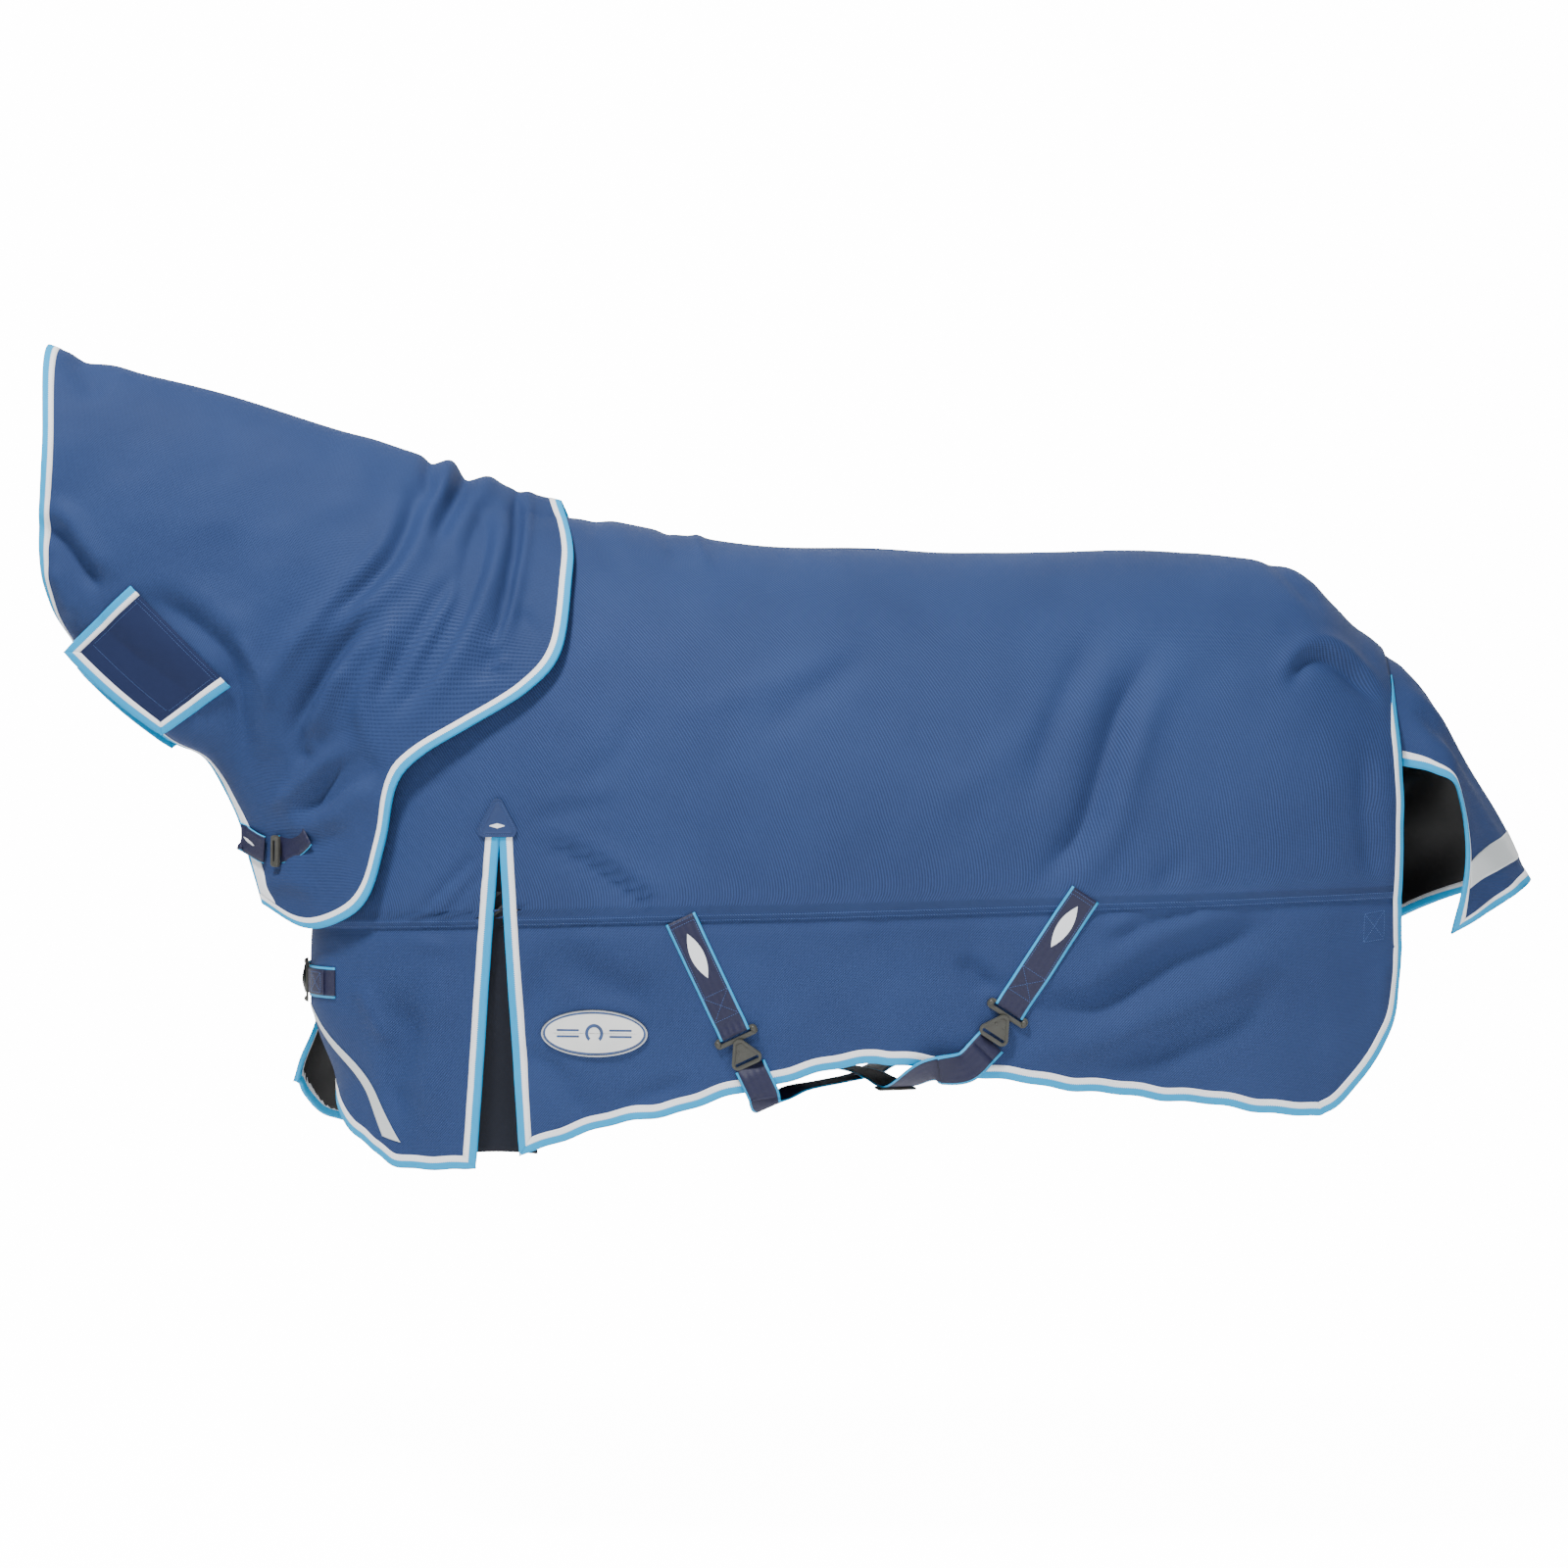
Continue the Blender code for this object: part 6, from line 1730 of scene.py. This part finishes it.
def throat_tab_cloth(side, across, down, lift, over=0.0):
    """The stiff tab or its pad: across runs along its sewn side, down from it to the free side."""
    across, down = np.broadcast_arrays(np.asarray(across, float), np.asarray(down, float))
    corners = np.array((TAB_SEWN, TAB_FREE))
    sewn = corners[0, 0] + (corners[0, 1] - corners[0, 0]) * across[..., None]
    free = corners[1, 0] + (corners[1, 1] - corners[1, 0]) * across[..., None]
    if side > 0:
        free = free + (-0.020, -0.022)
    flat = sewn + (free - sewn) * down[..., None]
    flat = flat - np.array((0.7, 0.7)) * (0.006 * np.sin(across * math.pi) * down)[..., None]
    under = np.clip(down, 0, 1) ** 1.7
    share = (0.23 + 0.25 * across) * (1 - under) + (0.02 + 0.37 * across) * under
    turn = (0.59 + 0.075 * across) * (1 - under) + (0.985 - 0.02 * across) * under
    cover = np.abs(neck_cloth(share, side * turn, over)[..., 1])
    top = np.abs(neck_cloth(0.23 + 0.25 * across, side * (0.59 + 0.075 * across), over)[..., 1])
    out = np.maximum(cover, top + (0.100 - top) * down) + lift
    return np.stack([flat[..., 0], side * out, flat[..., 1]], -1)


def throat_tabs():
    """The touch-tape tab and its pad, with their edge tapes and stitching."""
    for name, node, side, over, body_name in (
        ("throat_tab_cloth", "throat_tab", LEFT, 6.5 * MM, "throat_tab"),
        ("throat_pad_cloth", "throat_pad", RIGHT, 5.5 * MM, "neck"),
    ):
        def place(u, v):
            return throat_tab_cloth(side, 0.015 + 0.97 * u, 0.98 * v, 0.0, over)

        thing = sheet_of(56, 44, place, 2.2 * MM, flip=side < 0)
        set_material(thing, "tab_cloth_navy")
        finish_piece(thing, name, body_name, [node])

        def surface(p, q, lift):
            return throat_tab_cloth(side, p, q, lift, over)

        outer, inner = three_sides(0.020 / 0.222, 0.020 / 0.155, 60)
        tape = tape_of(surface, outer, inner, 3.2 * MM)
        finish_piece(tape, f"{node}_edge", body_name)
        lines = []
        for down in (0.035, 0.075):
            lines.append(surface(np.linspace(0.03, 0.97, 90), np.full(90, down), 0.1 * MM))
        share = np.linspace(0.12, 0.88, 90)
        lines.append(surface(share, np.full(90, 0.72), 0.1 * MM))
        for across in (0.12, 0.88):
            lines.append(surface(np.full(60, across), np.linspace(0.075, 0.72, 60), 0.1 * MM))
        stitches(f"{node}_stitching", body_name, lines, 3.8 * MM, 3.1 * MM, 0.42 * MM)


def neck_strap():
    """The strap below the throat, with its clip, its sewn tab and its printed mark."""
    share = 0.79
    turns = np.concatenate([np.linspace(0.86, 0.985, 14), np.linspace(-0.992, -0.855, 16)])
    path = neck_cloth(share, turns, 4.6 * MM)
    outs = neck_cloth(share, turns, 13 * MM) - path
    ahead = neck(share + 0.03, 1.0) - neck(share - 0.03, 1.0)
    ribbon("neck_strap_webbing", "neck_strap", path, outs, NECK_WEBBING_WIDTH, ["neck_strap"])
    end = neck(share, -0.825) + outward(neck, share, -0.825) * 4 * MM
    normal = outward(neck, share, -0.825)
    way = end - neck_cloth(share, -0.87, 4.6 * MM)
    way = way / np.linalg.norm(way)
    seat = seat_on(end + way * 0.006, normal, way)
    outline = rounded(box_outline(NECK_WEBBING_WIDTH + 0.006, 0.018), 0.005, 4)
    slot = rounded(box_outline(NECK_WEBBING_WIDTH - 0.010, 0.005, (0, -0.002)), 0.001, 2)
    bar = moulding(outline, [("rise", 5 * MM), ("inset", 2 * MM), ("rise", -0.6 * MM)], 0.8 * MM, [slot])
    plastic_piece(bar, "neck_clip_moulding", "neck_strap", seat, ["neck_clip"])
    tab_turns = np.linspace(-0.815, -0.745, 9)
    path = neck_cloth(share, tab_turns, 0.8 * MM)
    ribbon("neck_strap_tab", "neck", path, neck_cloth(share, tab_turns, 9 * MM) - path, NECK_WEBBING_WIDTH)
    middle = neck_cloth(share, -0.93, 4.6 * MM + WEBBING_THICKNESS + 0.3 * MM)
    step = neck_cloth(share, -0.92, 4.6 * MM + WEBBING_THICKNESS + 0.3 * MM) - middle
    step = step / np.linalg.norm(step)
    across = ahead / np.linalg.norm(ahead)

    def place(along_strap, over):
        return middle + np.outer(along_strap, step) + np.outer(over, across)

    printed_oval("neck_strap_print", "neck_strap", place, 0.036, 0.010)


def wither_links():
    """Tabs on the body's neckline, and the hooks by which they hold the neck cover up."""
    for name, side in SIDES:
        turn = side * 0.34
        edge = neckline(turn)

        def tab(u, v):
            return body(edge - 0.009 - 0.020 * (1 - u), turn + 0.045 * (2 * v - 1), -MM)

        def marks(i, j, points):
            return np.stack([0.020 * i / 6, WEBBING_WIDTH * (j / 8 - 0.5)], -1)

        thing = sheet_of(6, 8, tab, WEBBING_THICKNESS, marks=marks)
        set_material(thing, "webbing_navy_turquoise")
        finish_piece(thing, f"wither_tab_webbing_{name}", "rug", [f"wither_tab_{name}"])
        normal = outward(drape, edge - 0.042, turn)
        foot = drape(edge - 0.042, turn) - normal * 3 * MM
        heading = drape(edge, turn) - drape(edge - 0.042, turn)
        seat = seat_on(foot, normal, heading)
        hook_bar(f"wither_hook_bar_{name}", "neck", seat, WEBBING_WIDTH, [f"wither_hook_{name}"])


def rear_fittings():
    """Box stitching at the rear corners."""
    lines = []
    for _, side in SIDES:

        def chart(x, z):
            return on_side(x, z, side, 0.15 * MM)

        lines += box_and_cross((0.918, -0.585), (0.952, -0.580), (0.950, -0.625), (0.916, -0.630), chart)
    stitches("rear_box_stitching", "rug", lines)


# ---------------------------------------------------------------------------------------------
# Everything in its order, then the stage


def make_materials():
    """Makes every material once."""
    for make in (
        outer_cloth_material, lining_material, edge_tape_material, webbing_material, plastic_material,
        reflective_material, rubber_material, badge_materials, print_material, touch_tape_material,
        thread_material, gusset_cloth_material,
    ):
        make()


def dress_kept_nodes():
    """The frame's own rings keep their shape and take the moulded plastic."""
    for name, _ in SIDES:
        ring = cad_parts[f"hind_ring_{name}"]
        for slot in ring.material_slots:
            slot.material = bpy.data.materials["moulded_plastic_grey"]


# Each free sheet: the size it was cut to, its flat area, how it is held, what it lies on, and what is sewn
# to it.
SHEETS = [
    ("back_cloth", (1.85, 1.80), 2.25, "draped", ["lining"], ["neckline_edge_tape", "belly_seam_stitching"]),
    ("lining", (2.05, 2.50), 3.25, "draped", [], []),
    ("neck_cover_cloth", (0.98, 2.25), 1.20, "draped", ["neck_cover_lining"],
     ["face_edge_tape", "shoulder_edge_tape", "throat_edge_tape_left", "throat_edge_tape_right"]),
    ("neck_cover_lining", (0.95, 2.25), 1.14, "draped",
     ["wither_hook_bar_left", "wither_hook_bar_right"], []),
    ("tail_flap_cloth", (0.49, 0.53), 0.185, "hung", ["back_cloth"],
     ["tail_edge_tape", "tail_reflective_strip"]),
    ("tail_flap_lining", (0.49, 0.53), 0.180, "hung", ["back_cloth"], []),
    ("throat_tab_cloth", (0.23, 0.17), 0.034, "hung", ["neck_cover_cloth"],
     ["throat_tab_edge", "throat_tab_stitching"]),
    ("throat_pad_cloth", (0.23, 0.17), 0.034, "hung", ["neck_cover_cloth"],
     ["throat_pad_edge", "throat_pad_stitching"]),
]
for side_name, _ in SIDES:
    SHEETS += [
        (f"chest_cloth_{side_name}", (0.41, 0.40), 0.138, "hung", ["back_cloth"],
         [f"chest_edge_tape_{side_name}", f"chest_reflective_strip_{side_name}"]),
        (f"flank_cloth_{side_name}", (1.56, 0.37), 0.420, "hung", ["back_cloth"],
         [f"flank_edge_tape_{side_name}"]),
        (f"gusset_cloth_{side_name}", (0.13, 0.50), 0.045, "hung", ["back_cloth"], []),
    ]


# Soft lamps: place, what they face, width and power.
LAMPS = (
    ((-1.9, -2.7, 4.7), (0.0, 0.0, -0.25), 1.1, 610),
    ((3.2, -5.0, 0.8), (0.2, 0.0, -0.5), 2.4, 130),
)


def stage():
    """A white paper sweep, the lamps, faint air light and the camera."""
    length, half_width, flat, bend = 16.0, 9, 7.5, 3.0
    bpy.ops.object.select_all(action="DESELECT")
    bpy.ops.mesh.primitive_grid_add(x_subdivisions=2, y_subdivisions=80, size=2)
    floor = bpy.context.object
    for vertex in floor.data.vertices:
        run = (vertex.co.y + 1) / 2 * length
        if run < flat:
            y, z = run, 0.0
        elif run < flat + bend * math.pi / 2:
            turn = (run - flat) / bend
            y, z = flat + bend * math.sin(turn), bend * (1 - math.cos(turn))
        else:
            y, z = flat + bend, bend + run - flat - bend * math.pi / 2
        vertex.co = (vertex.co.x * half_width, y - 6.0, z - 1.62)
    select_only(floor)
    bpy.ops.object.shade_smooth()
    floor.name = "studio_sweep"
    tree, shader = start_material("studio_paper", 0.9)
    tone = blotches(tree, 1.5, 1.0)
    tree.links.new(mixed(tree, tone, "F7F7F7", "FCFCFC"), shader.inputs["Base Color"])
    shader.inputs["Emission Color"].default_value = colour("FFFFFF")
    seen = add(tree, "ShaderNodeLightPath").outputs["Is Camera Ray"]
    tree.links.new(scaled(tree, seen, 0, 1, 0.35, 14.0), shader.inputs["Emission Strength"])
    set_material(floor, "studio_paper")

    for place, aim, size, power in LAMPS:
        bpy.ops.object.light_add(type="AREA", location=place)
        lamp = bpy.context.object
        lamp.data.shape = "DISK"
        lamp.data.size = size
        lamp.data.energy = power
        lamp.rotation_euler = (Vector(aim) - Vector(place)).to_track_quat("-Z", "Y").to_euler()

    world = bpy.data.worlds.new("studio_air")
    bpy.context.scene.world = world
    world.use_nodes = True
    air = world.node_tree.nodes["Background"]
    air.inputs["Color"].default_value = colour("F4F6FA")
    air.inputs["Strength"].default_value = 0.30

    bpy.ops.object.camera_add(location=(0, -5.5, -0.303), rotation=(math.pi / 2, 0, 0))
    camera = bpy.context.object
    camera.data.lens = 76.5
    camera.data.sensor_width = 36
    camera.data.shift_y = -0.031
    bpy.context.scene.camera = camera


def main():
    """Builds every piece, and then the stage."""
    make_materials()
    back_cloth()
    lower_cloth()
    lining_cloth()
    gusset_cloth()
    body_tapes()
    neckline_tape()
    neck_sheets()
    neck_tapes()
    tail_sheets()
    tail_trim()
    seam_stitching()
    chest_strips()
    gusset_patches()
    badge()
    anchor_sets()
    surcingles()
    chest_fastening()
    throat_tabs()
    neck_strap()
    wither_links()
    rear_fittings()
    dress_kept_nodes()
    stage()


main()
